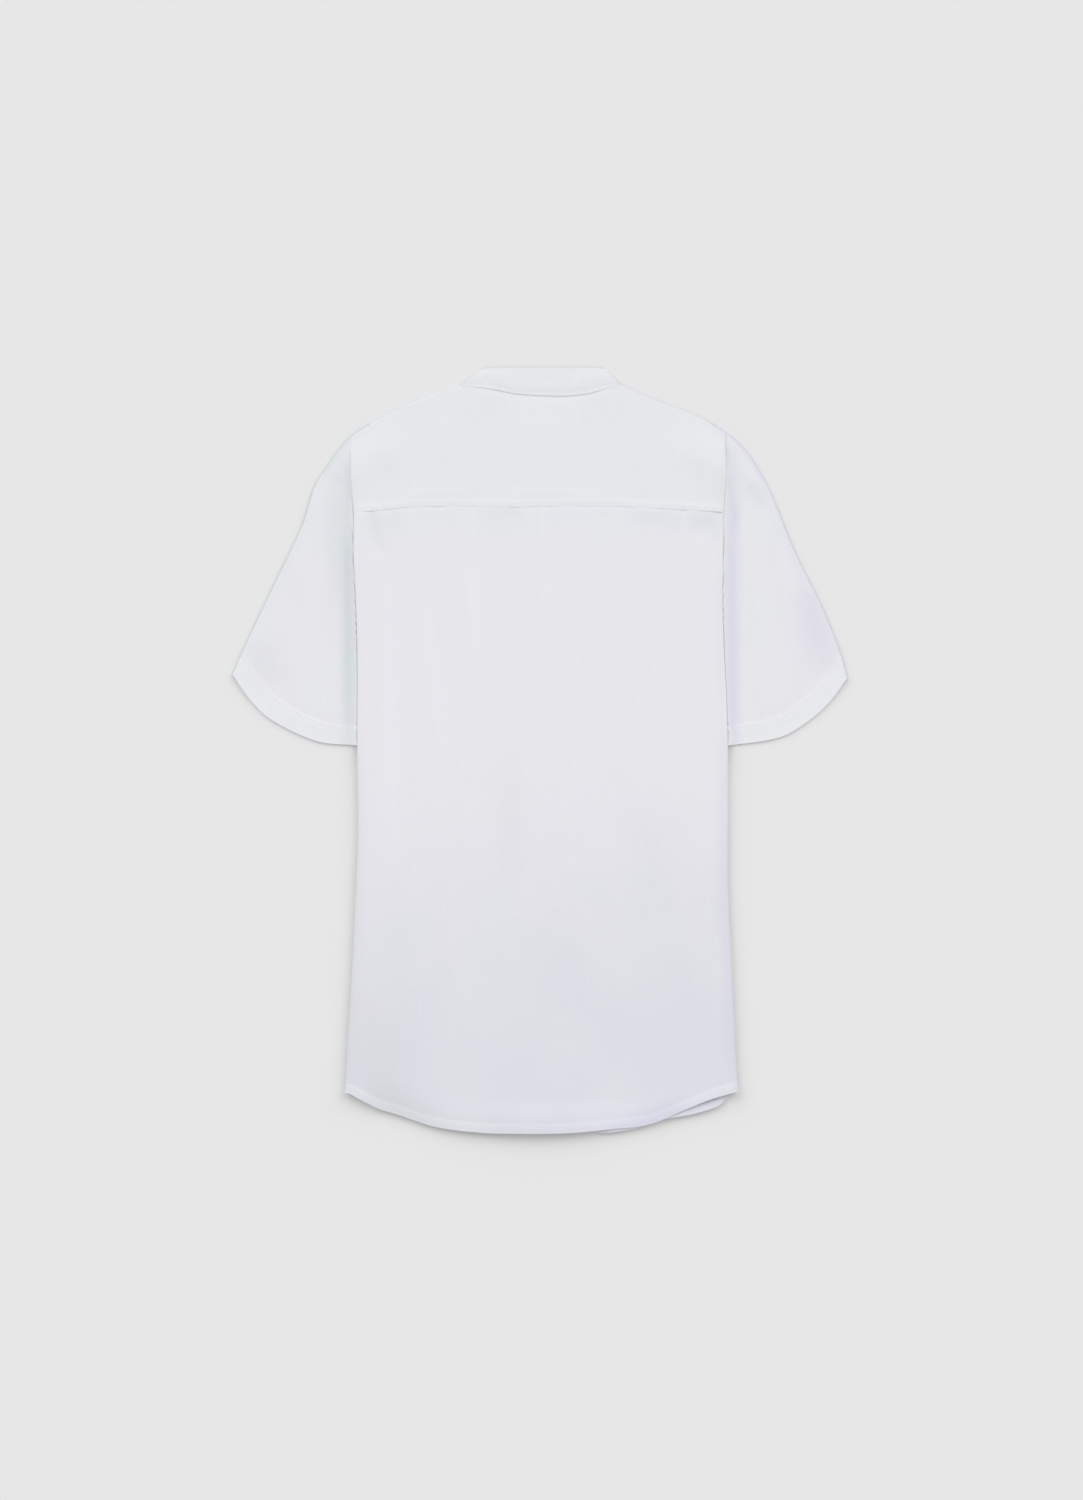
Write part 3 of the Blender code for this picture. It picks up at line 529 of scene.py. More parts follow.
class ClothSheet:
    # open grids of quads in the middle of the cloth, welded where they meet and then given a wall

    def __init__(self):
        self.points, self.quads, self.corners = [], [], []
        self.walls, self.doubled, self.paintedShadings = [], [], []
        self.count = 0

    def addGrid(self, points, wall, doubled=0.0, uv=None, turned=False, paintedShading=0.0):
        rows, columns = points.shape[:2]
        uv = gridUv(points) if uv is None else uv
        numbers = self.count + np.arange(rows * columns).reshape(rows, columns)
        self.count += rows * columns
        picks = [(slice(None, -1), slice(None, -1)), (slice(1, None), slice(None, -1)),
                 (slice(1, None), slice(1, None)), (slice(None, -1), slice(1, None))]
        if turned:
            picks.reverse()
        self.quads.append(np.stack([numbers[pick].ravel() for pick in picks], axis=-1))
        self.corners.append(np.stack([uv[pick].reshape(-1, 2) for pick in picks], axis=1))
        self.points.append(points.reshape(-1, 3))
        for kept, values in ((self.walls, wall), (self.doubled, doubled), (self.paintedShadings, paintedShading)):
            kept.append(np.broadcast_to(values, (rows, columns)).ravel())
        return numbers

    def weld(self):
        points = np.concatenate(self.points)
        keys = np.round(points + 0.000137, 3)   # off the rounding's own steps, so that equal points stay equal
        first, welded = np.unique(keys, axis=0, return_index=True, return_inverse=True)[1:]
        self.welded = welded.ravel()
        self.middle = points[first]
        self.wall, self.double, self.paintedShading = (
            np.concatenate(kept)[first] for kept in (self.walls, self.doubled, self.paintedShadings))
        self.faces = self.welded[np.concatenate(self.quads)]
        self.faceUv = np.concatenate(self.corners)
        corner = self.middle[self.faces]
        across = np.cross(corner[:, 2] - corner[:, 0], corner[:, 3] - corner[:, 1])
        self.area = np.linalg.norm(across, axis=1).sum() / 2.0 * mm * mm
        normals = np.zeros_like(self.middle)
        for k in range(4):
            np.add.at(normals, self.faces[:, k], across)
        self.normals = unitRows(normals)
        self.outer = self.middle + self.normals * self.wall[:, None] / 2.0
        self.inner = self.middle - self.normals * self.wall[:, None] / 2.0

    def rim(self):
        # the open border's edges, in the order in which their faces run
        edges = np.concatenate([self.faces[:, [k, (k + 1) % 4]] for k in range(4)])
        keys = np.sort(edges, axis=1) @ np.array([len(self.middle), 1])
        index, count = np.unique(keys, return_index=True, return_counts=True)[1:]
        if (count > 2).any():
            raise ValueError("more than two faces share an edge")
        return edges[index[count == 1]]

    def build(self, name, material, slot, node):
        self.weld()
        total = len(self.middle)
        edges = self.rim()
        a, b = edges.T
        out = np.zeros_like(self.middle)
        away = np.cross(self.middle[b] - self.middle[a], (self.normals[a] + self.normals[b]) / 2.0)
        np.add.at(out, a, away)
        np.add.at(out, b, away)
        rimNumbers = np.unique(edges)
        rimPoints = self.middle[rimNumbers] + unitRows(out[rimNumbers]) * self.wall[rimNumbers, None] * 0.4
        lookup = np.zeros(total, int)
        lookup[rimNumbers] = 2 * total + np.arange(len(rimNumbers))
        upper = np.stack([b, a, lookup[a], lookup[b]], axis=1)
        lower = np.stack([lookup[b], lookup[a], a + total, b + total], axis=1)
        faces = np.concatenate([self.faces, self.faces[:, ::-1] + total, upper, lower])
        vertexUv = np.zeros((total, 2))
        vertexUv[self.faces.ravel()] = self.faceUv.reshape(-1, 2)
        rimUv = np.stack([vertexUv[b], vertexUv[a], vertexUv[a], vertexUv[b]], axis=1)
        uvs = np.concatenate([self.faceUv, self.faceUv[:, ::-1], rimUv, rimUv])
        points = np.concatenate([self.outer, self.inner, rimPoints])
        points = (points + np.array([middleX, 0.0, 0.0])) * mm
        mesh = bpy.data.meshes.new(name)
        mesh.from_pydata(points.tolist(), [], faces.tolist())
        mesh.uv_layers.new(name="threads").data.foreach_set("uv", uvs.astype(np.float32).ravel())
        # painted shade and painted light go with the cloth as a point attribute
        for label, values in (("doubled", self.double), ("paintedShading", self.paintedShading)):
            values = np.concatenate([values, values, values[rimNumbers]])
            mesh.attributes.new(label, "FLOAT", "POINT").data.foreach_set("value", values.astype(np.float32))
        mesh.materials.append(material)
        mesh.shade_smooth()
        mesh.set_sharp_from_angle(angle=math.radians(38.0))
        self.slot, self.piece = slot, joinFrame(addObject(name, mesh), slot, node)
        print(name, len(faces) * 2, "triangles,", round(self.area, 4), "square metres")

    def lineOn(self, numbers):
        # the cloth's outer face along a row or a column of a grid
        return self.outer[self.welded[numbers]]


# the cloth's weave and colours


def makeWeaveGroup():
    # plain weave: threads that pass over and under each other, with thicker stretches here and there
    group, given, result = newTree("linenWeave", "ShaderNodeTree", [
        ("Threads", "Vector", None),
        ("Count", "Float", 1800.0),
        ("Waviness", "Float", 0.5),
        ("Slubs", "Float", 0.6),
    ], [("Height", "Float"), ("Tone", "Float")])
    scaled = vectorNode(group, "SCALE", (-1400, 0), {0: given["Threads"], "Scale": given["Count"]})
    wander = addNode(group, "ShaderNodeTexNoise", (-1400, -250), {"Vector": scaled, "Scale": 0.06, "Detail": 2.0})
    shift = vectorNode(group, "SCALE", (-1200, -250), {0: wander.outputs["Color"], "Scale": given["Waviness"]})
    moved = vectorNode(group, "ADD", (-1000, 0), {0: scaled, 1: shift})
    split = addNode(group, "ShaderNodeSeparateXYZ", (-820, 0), {0: moved}).outputs
    profiles, parities = [], []
    for index, y in enumerate((150, -150)):
        turn = mathNode(group, "MULTIPLY", (-640, y), split[index], math.pi)
        wave = mathNode(group, "ABSOLUTE", (-320, y), mathNode(group, "SINE", (-480, y), turn))
        profiles.append(mathNode(group, "POWER", (-160, y), wave, 0.6))
        parities.append(mathNode(group, "FLOOR", (-640, y - 80), split[index]))
    both = mathNode(group, "ABSOLUTE", (-320, -330), mathNode(group, "ADD", (-480, -330), *parities))
    over = mathNode(group, "MODULO", (-160, -330), both, 2.0)
    pick = addNode(group, "ShaderNodeMix", (20, 0), {0: over, 2: profiles[0], 3: profiles[1]}, data_type="FLOAT")
    pick = pick.outputs[0]
    warp = noiseNode(group, scaled, (-640, 500), 1.0, 1.0, stretch=(0.33, 0.016, 1.0))
    weft = noiseNode(group, scaled, (-640, 750), 1.0, 1.0, stretch=(0.014, 0.3, 1.0))
    thick = mathNode(group, "SUBTRACT", (-240, 620), mathNode(group, "MAXIMUM", (-400, 620), warp, weft), 0.5)
    slub = mathNode(group, "MULTIPLY", (-80, 620), thick, given["Slubs"])
    height = mathNode(group, "ADD", (400, 100), mathNode(group, "MULTIPLY", (200, 0), pick, 0.5),
                      mathNode(group, "MULTIPLY", (100, 400), slub, 1.6))
    tone = mathNode(group, "ADD", (400, -200), mathNode(group, "MULTIPLY", (200, -200), pick, 0.12),
                    mathNode(group, "ADD", (200, -350), slub, 0.44))
    fillInputs(group, result, {"Height": height, "Tone": tone})
    return group


weaveGroup = makeWeaveGroup()

linenLook = {
    "count": 1800.0,          # threads in a metre
    "waviness": 0.7,
    "slubs": 0.6,
    "single": (0.816, 0.827, 0.860, 1.0),
    "warm": (0.826, 0.818, 0.861, 1.0),     # patches of it, below the yoke
    "warmFrom": (0.25, 0.17),               # the height on the shirt where they start and are full, metres
    "warmLeast": 0.55,
    "double": (0.850, 0.846, 0.884, 1.0),
    "shaded": (0.898, 0.913, 0.938, 1.0),   # painted shade that darkens the lower body
    "shadedFrom": (0.02, -0.34),
    "paintedShadeLeft": (0.128, 0.116, 0.145),    # the colour that painted shade takes away, on the left and on the right; painted light gives it back
    "paintedShadeRight": (0.125, 0.140, 0.050),
    "toneDepth": 0.03,
    "bumpDistance": 0.0002,
    "bumpStrength": 0.32,
    "roughness": 0.88,
    "smoother": 0.12,         # how much less rough the raised threads are
    "sheen": 0.04,
}
coolLook = dict(linenLook, warmLeast=0.0, double=(0.838, 0.845, 0.880, 1.0), paintedShadeLeft=(0.134, 0.094, 0.105))
yokeLook = dict(coolLook, single=(0.811, 0.824, 0.857, 1.0),
                paintedShadeLeft=(0.135, 0.125, 0.130), paintedShadeRight=(0.130, 0.130, 0.120))
collarLook = dict(yokeLook, double=(0.787, 0.803, 0.832, 1.0), count=2000.0, toneDepth=0.028)


def makeLinen(name, look):
    material, tree, shader = newMaterial(name)
    threads = addNode(tree, "ShaderNodeUVMap", (-1500, 0), uv_map="threads").outputs["UV"]
    weave = addNode(tree, "ShaderNodeGroup", (-1200, 0), {
        "Threads": threads, "Count": look["count"], "Waviness": look["waviness"], "Slubs": look["slubs"],
    }, node_tree=weaveGroup).outputs
    place = addNode(tree, "ShaderNodeTexCoord", (-1500, 400)).outputs["Object"]
    split = addNode(tree, "ShaderNodeSeparateXYZ", (-1300, 500), {0: place}).outputs
    doubled = addNode(tree, "ShaderNodeAttribute", (-1200, 800), attribute_name="doubled").outputs["Fac"]
    paintedShading = addNode(tree, "ShaderNodeAttribute", (-1200, 1100), attribute_name="paintedShading").outputs["Fac"]

    # single cloth with warmer patches, double cloth, and painted shade darkening the lower body
    drift = noiseNode(tree, place, (-1500, 900), 13.0, 2.0, roughness=0.6)
    warm = mathNode(tree, "MULTIPLY", (-1150, 950),
                    mapRange(tree, (-1300, 1000), split["Y"], *look["warmFrom"], 0.0, 1.0),
                    mapRange(tree, (-1300, 900), drift, 0.36, 0.56, look["warmLeast"], 1.0))
    single = mixColours(tree, "MIX", (-1000, 1000), warm, look["single"], look["warm"])
    base = mixColours(tree, "MIX", (-900, 800), doubled, single, look["double"])
    lower = mapRange(tree, (-1100, 560), split["Y"], *look["shadedFrom"], 0.0, 1.0)
    patchy = noiseNode(tree, place, (-1000, 350), 9.0, 2.0)
    lower = mathNode(tree, "MULTIPLY", (-600, 450), lower, mapRange(tree, (-800, 350), patchy, 0.3, 0.7, 0.8, 1.15))
    lowered = mixColours(tree, "MULTIPLY", (-400, 700), lower, base, look["shaded"])

    # painted shade and painted light from the cloth's attribute, and the threads' own tone
    aside = mapRange(tree, (-1200, 1300), split["X"], -0.1, 0.1, 0.0, 1.0)
    loss = addNode(tree, "ShaderNodeMix", (-900, 1200), {0: aside, 4: look["paintedShadeLeft"], 5: look["paintedShadeRight"]},
                   data_type="VECTOR").outputs[1]
    # painted shade darkens by its side's tint, and painted light below 0 brightens
    taken = vectorNode(tree, "SCALE", (-700, 1200), {0: loss, "Scale": paintedShading})
    left = vectorNode(tree, "SUBTRACT", (-500, 1200), {0: (1.0, 1.0, 1.0), 1: taken})
    dimmed = mixColours(tree, "MULTIPLY", (-300, 900), 1.0, lowered, left)
    tone = mapRange(tree, (-900, 0), weave["Tone"], 0.3, 0.75, 1.0 - look["toneDepth"],
                    1.0 + look["toneDepth"] * 0.4, smooth=False)
    grey = addNode(tree, "ShaderNodeCombineColor", (-700, 0), {0: tone, 1: tone, 2: tone}).outputs[0]
    fillInputs(tree, shader, {
        "Base Color": mixColours(tree, "MULTIPLY", (-200, 500), 1.0, dimmed, grey),
        "Roughness": mapRange(tree, (-500, -100), weave["Tone"], 0.3, 0.7, look["roughness"],
                              look["roughness"] - look["smoother"]),
        "Normal": bumpNormal(tree, (-200, -300), weave["Height"], look["bumpStrength"], look["bumpDistance"]),
        "Sheen Weight": look["sheen"],
        "Sheen Roughness": 0.5,
        "Specular IOR Level": 0.25,
    })
    return material


whiteLinen = makeLinen("whiteLinen", linenLook)
coolLinen = makeLinen("coolLinen", coolLook)
yokeLinen = makeLinen("yokeLinen", yokeLook)
collarLinen = makeLinen("collarLinen", collarLook)

threadLook = {
    "colour": (0.84, 0.845, 0.87, 1.0),
    "shade": (0.7812, 0.78585, 0.8091, 1.0),   # painted shade between the strands
    "ply": 260.0,             # how close the strands' turns are
    "roughness": 0.6,
    "bumpDistance": 0.00005,
}
buttonLook = {
    "pale": (0.84, 0.835, 0.81, 1.0),
    "milky": (0.76, 0.75, 0.72, 1.0),
    "roughness": 0.28,
    "cloudSize": 260.0,
    "bumpDistance": 0.00005,
}


def makeThread(name, look):
    material, tree, shader = newMaterial(name)
    place = addNode(tree, "ShaderNodeTexCoord", (-1000, 0)).outputs["Object"]
    wave = addNode(tree, "ShaderNodeTexWave", (-700, 0), {"Vector": place, "Scale": look["ply"], "Distortion": 1.0},
                   bands_direction="DIAGONAL").outputs["Fac"]
    fillInputs(tree, shader, {
        "Base Color": mixColours(tree, "MIX", (-400, 200), wave, look["shade"], look["colour"]),
        "Roughness": mapRange(tree, (-400, -100), wave, 0.0, 1.0, look["roughness"] + 0.1, look["roughness"]),
        "Normal": bumpNormal(tree, (-300, -300), wave, 0.4, look["bumpDistance"]),
        "Sheen Weight": 0.2,
    })
    return material


def makeButtonShell(name, look):
    material, tree, shader = newMaterial(name)
    place = addNode(tree, "ShaderNodeTexCoord", (-1200, 0)).outputs["Object"]
    cloud = noiseNode(tree, place, (-800, 0), look["cloudSize"], 3.0, stretch=(1.0, 0.35, 1.0))
    clear = mapRange(tree, (-600, 100), cloud, 0.35, 0.65, 0.0, 1.0)
    fine = noiseNode(tree, place, (-800, -400), 2500.0, 2.0)
    fillInputs(tree, shader, {
        "Base Color": mixColours(tree, "MIX", (-300, 200), clear, look["milky"], look["pale"]),
        "Roughness": mapRange(tree, (-600, -150), cloud, 0.3, 0.7, look["roughness"] + 0.12, look["roughness"]),
        "Normal": bumpNormal(tree, (-300, -300), fine, 0.15, look["bumpDistance"]),
        "Coat Weight": 0.3,
        "Coat Roughness": 0.2,
    })
    return material


sewingThread = makeThread("sewingThread", threadLook)
buttonShell = makeButtonShell("buttonShell", buttonLook)
print("materials ready")

# back panel

backPanel = {
    "wall": 0.55,
    "hemWall": 1.15,
    "hemWidth": 8.0,
    "hemStitchAt": 6.6,
    "hemGroove": 0.22,
    "hemZone": 13.0,          # where the rows close up, from the hem's edge
    "hemLifts": [             # how far the hem's edge curls up, or droops below 0, by x
        (-197, 0.0), (-178, -1.2), (-152, -2.4), (-122, -0.8), (-92, 1.6), (-50, 3.0), (40, 3.4), (80, 2.4),
        (108, 1.0), (140, 0.6), (170, 0.2), (197, 0.0),
    ],
    "hemLiftReach": 34.0,
    "topDip": 0.3,            # the edge beneath the yoke's seam lies lower
    "topDipFrom": (4.2, 1.0),
    "seamPuckers": (11, 0.24, 10.0, 9.0),   # seed, depth, pitch and reach
    "hemPuckers": (13, 0.16, 7.0, 8.0),
    "columns": 134,
    "rows": 190,
    "rollSteps": 10,
    "tuckSteps": 6,
    "grains": [(0.16, 11.0, 95.0, 3), (0.096, 26.0, 60.0, 4)],   # depth, size across and down, seed
    "creases": [
        (-0.9, 5.0, [(-170, 246), (-167, 226), (-160, 196)]),
        (0.5, 6.0, [(-160, 240), (-156, 218), (-152, 200)]),
        (-0.8, 9.0, [(186, 246), (170, 228), (150, 212)]),
        (-0.5, 7.0, [(186, 232), (176, 205), (172, 180)]),
        (0.45, 2.6, [(1, 262), (0.5, 225), (1, 180)]),
        (0.5, 9.0, [(-156, 200), (-152, 60), (-147, -90), (-149, -190)]),
        (0.45, 8.0, [(-72, 200), (-70, 150), (-66, 84)]),
        (0.4, 6.5, [(-121, 170), (-113, 95), (-97, -20)]),
        (0.4, 7.0, [(3, 200), (7, 150), (12, 92)]),
        (-0.5, 13.0, [(-34, 15), (-31, -60), (-33, -140)]),
        (0.3, 9.0, [(-12, -10), (-8, -70), (-14, -120)]),
        (-0.4, 12.0, [(84, -20), (92, -90), (88, -170)]),
        (0.35, 8.0, [(112, 10), (116, -60), (112, -130)]),
        (-0.4, 9.0, [(-176, -250), (-168, -300), (-160, -345)]),
        (0.4, 8.0, [(-130, -210), (-126, -270), (-130, -330)]),
        (-0.35, 10.0, [(60, -260), (66, -310), (58, -355)]),
        (0.35, 9.0, [(150, -180), (156, -240), (150, -300)]),
    ],
    "paintedShadingStrokes": [                # painted shade where the cloth is to look darker, painted light below 0: amount, half width, points
        (0.3, 12.0, [(-180, 230), (-158, 230), (-130, 235)]),
        (0.12, 9.0, [(-138, 238), (-100, 239), (-72, 239)]),
        (0.24, 4.0, [(-66, 241), (-40, 240), (-10, 241)]),
        (0.18, 12.0, [(-64, 234), (-36, 230), (-10, 234)]),
        (0.14, 9.0, [(-8, 238), (24, 238), (56, 238)]),
        (0.18, 4.0, [(54, 241), (66, 240), (76, 240)]),
        (0.3, 11.0, [(80, 236), (120, 234), (154, 232)]),
        (0.4, 13.0, [(146, 236), (166, 227), (184, 221)]),
        (0.3, 4.0, [(-168, 246), (-166, 222), (-158, 194)]),
        (-0.14, 2.4, [(1, 262), (0.5, 225), (1, 185)]),
        (-0.12, 8.0, [(-153, 190), (-152, 60), (-147, -150)]),
        (-0.1, 6.0, [(-71, 190), (-68, 140), (-66, 92)]),
        (-0.1, 6.0, [(-118, 158), (-108, 80), (-97, -10)]),
        (-0.1, 6.0, [(4, 190), (7, 150), (10, 100)]),
        (0.2, 15.0, [(-32, 0), (-31, -70), (-33, -150)]),
        (0.16, 26.0, [(96, -40), (108, -110), (96, -190)]),
        (0.2, 5.0, [(179, 232), (178, 140), (181, 40), (182, -60)]),
        (-0.4, 1.8, [(183, 240), (182, 150), (185, 60), (187, 10)]),
        (0.45, 7.0, [(184, 30), (183, -80), (183, -134), (186, -190), (188, -246), (190, -310), (192, -350)]),
        (0.1, 3.0, [(-184, 232), (-182, 130), (-181, 40), (-181, -60)]),
        (-0.5, 1.8, [(-187.5, 240), (-187, 195), (-184.5, 110), (-184, 10)]),
        (0.3, 7.0, [(-181, 20), (-181, -80), (-183, -140), (-187, -220), (-191, -300), (-193, -350)]),
        (0.27, 30.0, [(-176, -230), (-164, -300), (-140, -370)]),
        (0.72, 12.0, [(-180, -344), (-150, -358), (-118, -368), (-78, -378)]),
        (0.85, 11.0, [(62, -380), (106, -370), (152, -352)]),
        (0.66, 13.0, [(-96, -372), (-10, -377), (82, -374)]),
        (0.06, 50.0, [(-80, -180), (20, -180), (190, -180)]),
    ],
}


def hemStops(sizes):
    # how far from the hem's edge its rows lie
    width, stitchAt, zone = sizes["hemWidth"], sizes["hemStitchAt"], sizes["hemZone"]
    stops = [zone, (zone + width) / 2.0 + 0.8, width + 0.6, width, stitchAt + 0.7, stitchAt, stitchAt - 0.7]
    return stops + [width * share for share in (0.6, 0.4, 0.22, 0.08, 0.0)]


def sewnRow(stops, at):
    # counted back from a grid's last row
    return stops.index(at) - len(stops)


def hemWalls(away, sizes):
    inHem = 1.0 - smoothStep(sizes["hemWidth"] - 0.3, sizes["hemWidth"] + 0.3, away)
    return mix(sizes["wall"], sizes["hemWall"], inHem), inHem


def hemProfile(away, sizes):
    # how far a turned hem stands out from the cloth, by the distance from its edge
    bulge = (sizes["hemWall"] - sizes["wall"]) / 2.0
    shape = bulge * (1.0 - smoothStep(sizes["hemWidth"] - 0.6, sizes["hemWidth"] + 0.8, away))
    return shape - sizes["hemGroove"] * bell(away - sizes["hemStitchAt"], stitchReach)


def hemLift(x, away, sizes):
    uneven = 1.0 + 0.2 * noiseAlong(x, 60.0, 21)
    return lineY(sizes["hemLifts"], x) * uneven * (1.0 - smoothStep(0.0, sizes["hemLiftReach"], away))


def makeBackPanel(sizes):
    shares = np.linspace(0.0, 1.0, sizes["columns"] + 1)
    tuck = np.linspace(0.0, 1.0, sizes["tuckSteps"] + 1)[:-1]
    angles = np.linspace(0.0, math.pi, sizes["rollSteps"] + 1)[:-1]
    tops, hems = [], []
    for side, edge in ((-1, 0.0), (1, 1.0)):
        innerX = mix(side * sideSeamXs[1], sideX(side, sideRows[0][0]), tuck)
        hems.append(np.concatenate([lineY(underHemRows, innerX), np.full(len(angles), hemY(edge))]))
        tops.append(np.full(len(hems[-1]), seamY(edge) - seamGap))
    top = np.concatenate([tops[0], seamY(shares) - seamGap, tops[1][::-1]])
    hem = np.concatenate([hems[0], hemY(shares), hems[1][::-1]])
    stops = hemStops(sizes)
    rows = rowShares(top - hem, stops, sizes["rows"])
    ys = mix(top, hem, rows)
    away = (1.0 - rows) * (top - hem)
    xs, zs = np.zeros_like(ys), np.zeros_like(ys)

    # each side's fold, from the edge beneath, round the roll and up to the middle's first column
    count, turn = len(tuck), len(tuck) + len(angles)
    weight = np.concatenate([np.zeros(count), smoothStep(math.pi / 2.0, math.pi, angles)])
    for side, block in ((-1, np.s_[:, :turn]), (1, np.s_[:, :-turn - 1:-1])):
        y, fromHem = ys[block], away[block]
        radius, centre, z = rollRadius(y), rollCentreX(side, y), tuckHeight(y)
        x = centre.copy()
        x[:, :count] = mix(tuckEndX(side, y[:, :count]), centre[:, :count], tuck)
        x[:, count:] += side * radius[:, count:] * np.sin(angles)
        z[:, count:] += radius[:, count:] * (1.0 - np.cos(angles))
        z += (hemLift(x, fromHem, sizes) + clothRelief(x, y, sizes["creases"], sizes["grains"])) * weight
        z[:, :count] += underHemLift(x[:, :count], fromHem[:, :count])
        xs[block], zs[block] = x, z

    middle = np.s_[:, turn:-turn]
    y, fromHem, belowSeam = ys[middle], away[middle], seamY(shares) - ys[middle]
    x = mix(rollCentreX(-1, y), rollCentreX(1, y), shares)
    z = bodyHeight(x, y) + clothRelief(x, y, sizes["creases"], sizes["grains"]) + hemLift(x, fromHem, sizes)
    z += puckers(x, belowSeam, *sizes["seamPuckers"]) - sizes["topDip"] * smoothStep(*sizes["topDipFrom"], belowSeam)
    z += puckers(x, fromHem, *sizes["hemPuckers"]) + hemProfile(fromHem, sizes)
    xs[middle], zs[middle] = x, z
    points = np.stack([xs, ys, zs], axis=-1)
    walls, inHem = hemWalls(away, sizes)
    sheet = ClothSheet()
    # painted shade and painted light strokes go on the back panel
    numbers = sheet.addGrid(points, walls, inHem, gridUv(points, points.shape[1] // 2),
                            paintedShading=creaseHeight(xs, ys, sizes["paintedShadingStrokes"]))
    sheet.build("back_panel_cloth", whiteLinen, "white_linen", "back_panel")
    sheet.lines = [sheet.lineOn(numbers[sewnRow(stops, sizes["hemStitchAt"])])]
    return sheet


backSheet = makeBackPanel(backPanel)

# back yoke

yoke = {
    "wall": 0.55,
    "seamWall": 0.68,
    "neckDip": 0.5,           # the edge that the collar's seam covers lies lower
    "allowance": 8.0,         # the seam's turned edge, which makes the cloth double
    "ridge": (0.12, 4.8, 2.2),   # of the turned edge: height, distance from the seam, half width
    "edgeDroop": 0.3,
    "stitchAt": 2.6,
    "groove": 0.12,
    "stripRidge": 0.1,        # along the stitches in front
    "overlap": 1.0,
    "edgeShades": {-1: 0.9, 1: 1.6},   # how much painted shade darkens each shoulder's fold
    "seamPuckers": (33, 0.22, 9.0, 9.0),
    "edgePuckers": (35, 0.2, 8.0, 7.0),
    "neckSteps": 60,
    "shoulderSteps": 26,
    "cornerSteps": 6,
    "rows": 38,
    "rollSteps": 10,
    "tuckSteps": 5,
    "stripRows": 12,
    "foldEnds": (283.0, 311.0),
    "grains": [(0.13, 13.0, 70.0, 31)],
    "creases": [
        (0.45, 7.0, [(-160, 246), (-120, 256), (-70, 257)]),
        (0.4, 6.0, [(-50, 254), (10, 256), (80, 254)]),
        (-0.4, 8.0, [(-168, 300), (-150, 270), (-146, 244)]),
        (-0.4, 8.0, [(170, 300), (156, 272), (152, 244)]),
        (0.35, 9.0, [(-118, 346), (-100, 320), (-96, 280)]),
        (0.35, 9.0, [(118, 342), (104, 318), (98, 280)]),
        (-0.35, 7.0, [(-60, 352), (-56, 330), (-64, 300)]),
        (-0.3, 7.0, [(62, 352), (58, 330), (66, 304)]),
    ],
    # painted shade above 0, painted light below 0: amount, half width, points
    "paintedShadingStrokes": [
        (0.2, 22.0, [(-186, 300), (-172, 286), (-160, 264)]),
        (0.12, 18.0, [(-88, 346), (-130, 326), (-176, 304)]),
        (0.2, 22.0, [(182, 300), (170, 286), (160, 264)]),
        (0.12, 18.0, [(88, 344), (130, 324), (176, 304)]),
        (0.12, 12.0, [(150, 262), (168, 256), (184, 250)]),
        (0.4, 4.0, [(183, 318), (183, 290), (182, 264), (181, 236)]),
        (0.2, 3.0, [(-188, 300), (-187, 270), (-186, 240)]),
    ],
}


def yokeHeight(x, y, belowEdge):
    near = 1.0 - smoothStep(neckX(-1), neckX(-1) + crestWidth / 4.0, np.abs(x))
    edge = mix(heights["shoulderCrest"], heights["neck"], near)
    return mix(edge, bodyHeight(x, y) + heights["yokeStep"], smoothStep(0.0, shoulderSlopeWidth, belowEdge))


def yokeColumns(sizes):
    # each column's share of the width, its top point, and each shoulder's distances from the middle
    left, right = (float(sideX(side, sideRows[-1][0])) for side in (-1, 1))
    places, shares = {}, {}
    for side, end in ((-1, -left), (1, right)):
        folded = np.linspace(neckX(side), armholeX - seamGap, sizes["shoulderSteps"] + 1)
        corner = np.linspace(armholeX - seamGap, end, sizes["cornerSteps"] + 1)
        places[side] = np.concatenate([folded, corner[1:]])
        shares[side] = (side * places[side] - left) / (right - left)
    neck = np.linspace(0.0, 1.0, sizes["neckSteps"] + 1)[1:-1]
    top = np.concatenate([
        shoulderPoint(-1, places[-1])[::-1],
        neckSeamPoint(neck) - np.array([0.0, seamGap / 2.0]),
        shoulderPoint(1, places[1]),
    ])
    across = np.concatenate([shares[-1][::-1], mix(shares[-1][0], shares[1][0], neck), shares[1]])
    return across, top, places


def foldAmount(y):
    return 1.0 - smoothStep(*yoke["foldEnds"], y)


def addYokeFold(sheet, side, points, wall, double, sizes):
    # the yoke's own side folded under, down its last column; higher up it opens out towards the shoulder
    crest, floor = points[:, 2:], heights["tuckOverSleeve"]
    bent = foldAmount(points[:, 1:2])
    radius = (crest - floor) / 2.0
    angles = np.linspace(0.0, math.pi, sizes["rollSteps"] + 1) * bent
    tuck = np.linspace(0.0, 1.0, sizes["tuckSteps"] + 1)[1:] * (tuckAtArmhole - radius)
    tuck = tuck * np.maximum(smoothStep(0.55, 1.0, bent), 0.02)
    x = points[:, :1] + side * radius * np.sin(angles)
    z = crest - radius * (1.0 - np.cos(angles))
    last, lastX, lastZ = angles[:, -1:], x[:, -1:], z[:, -1:]
    x = np.hstack([x, lastX + side * tuck * np.cos(last)])
    z = np.hstack([z, np.maximum(lastZ - tuck * np.sin(last), np.minimum(lastZ, floor))])
    fold = np.stack([x, np.broadcast_to(points[:, 1:2], x.shape), z], axis=-1)
    fold[:, 0] = points
    sheet.addGrid(fold[:, ::side], wall[:, None], double[:, None])


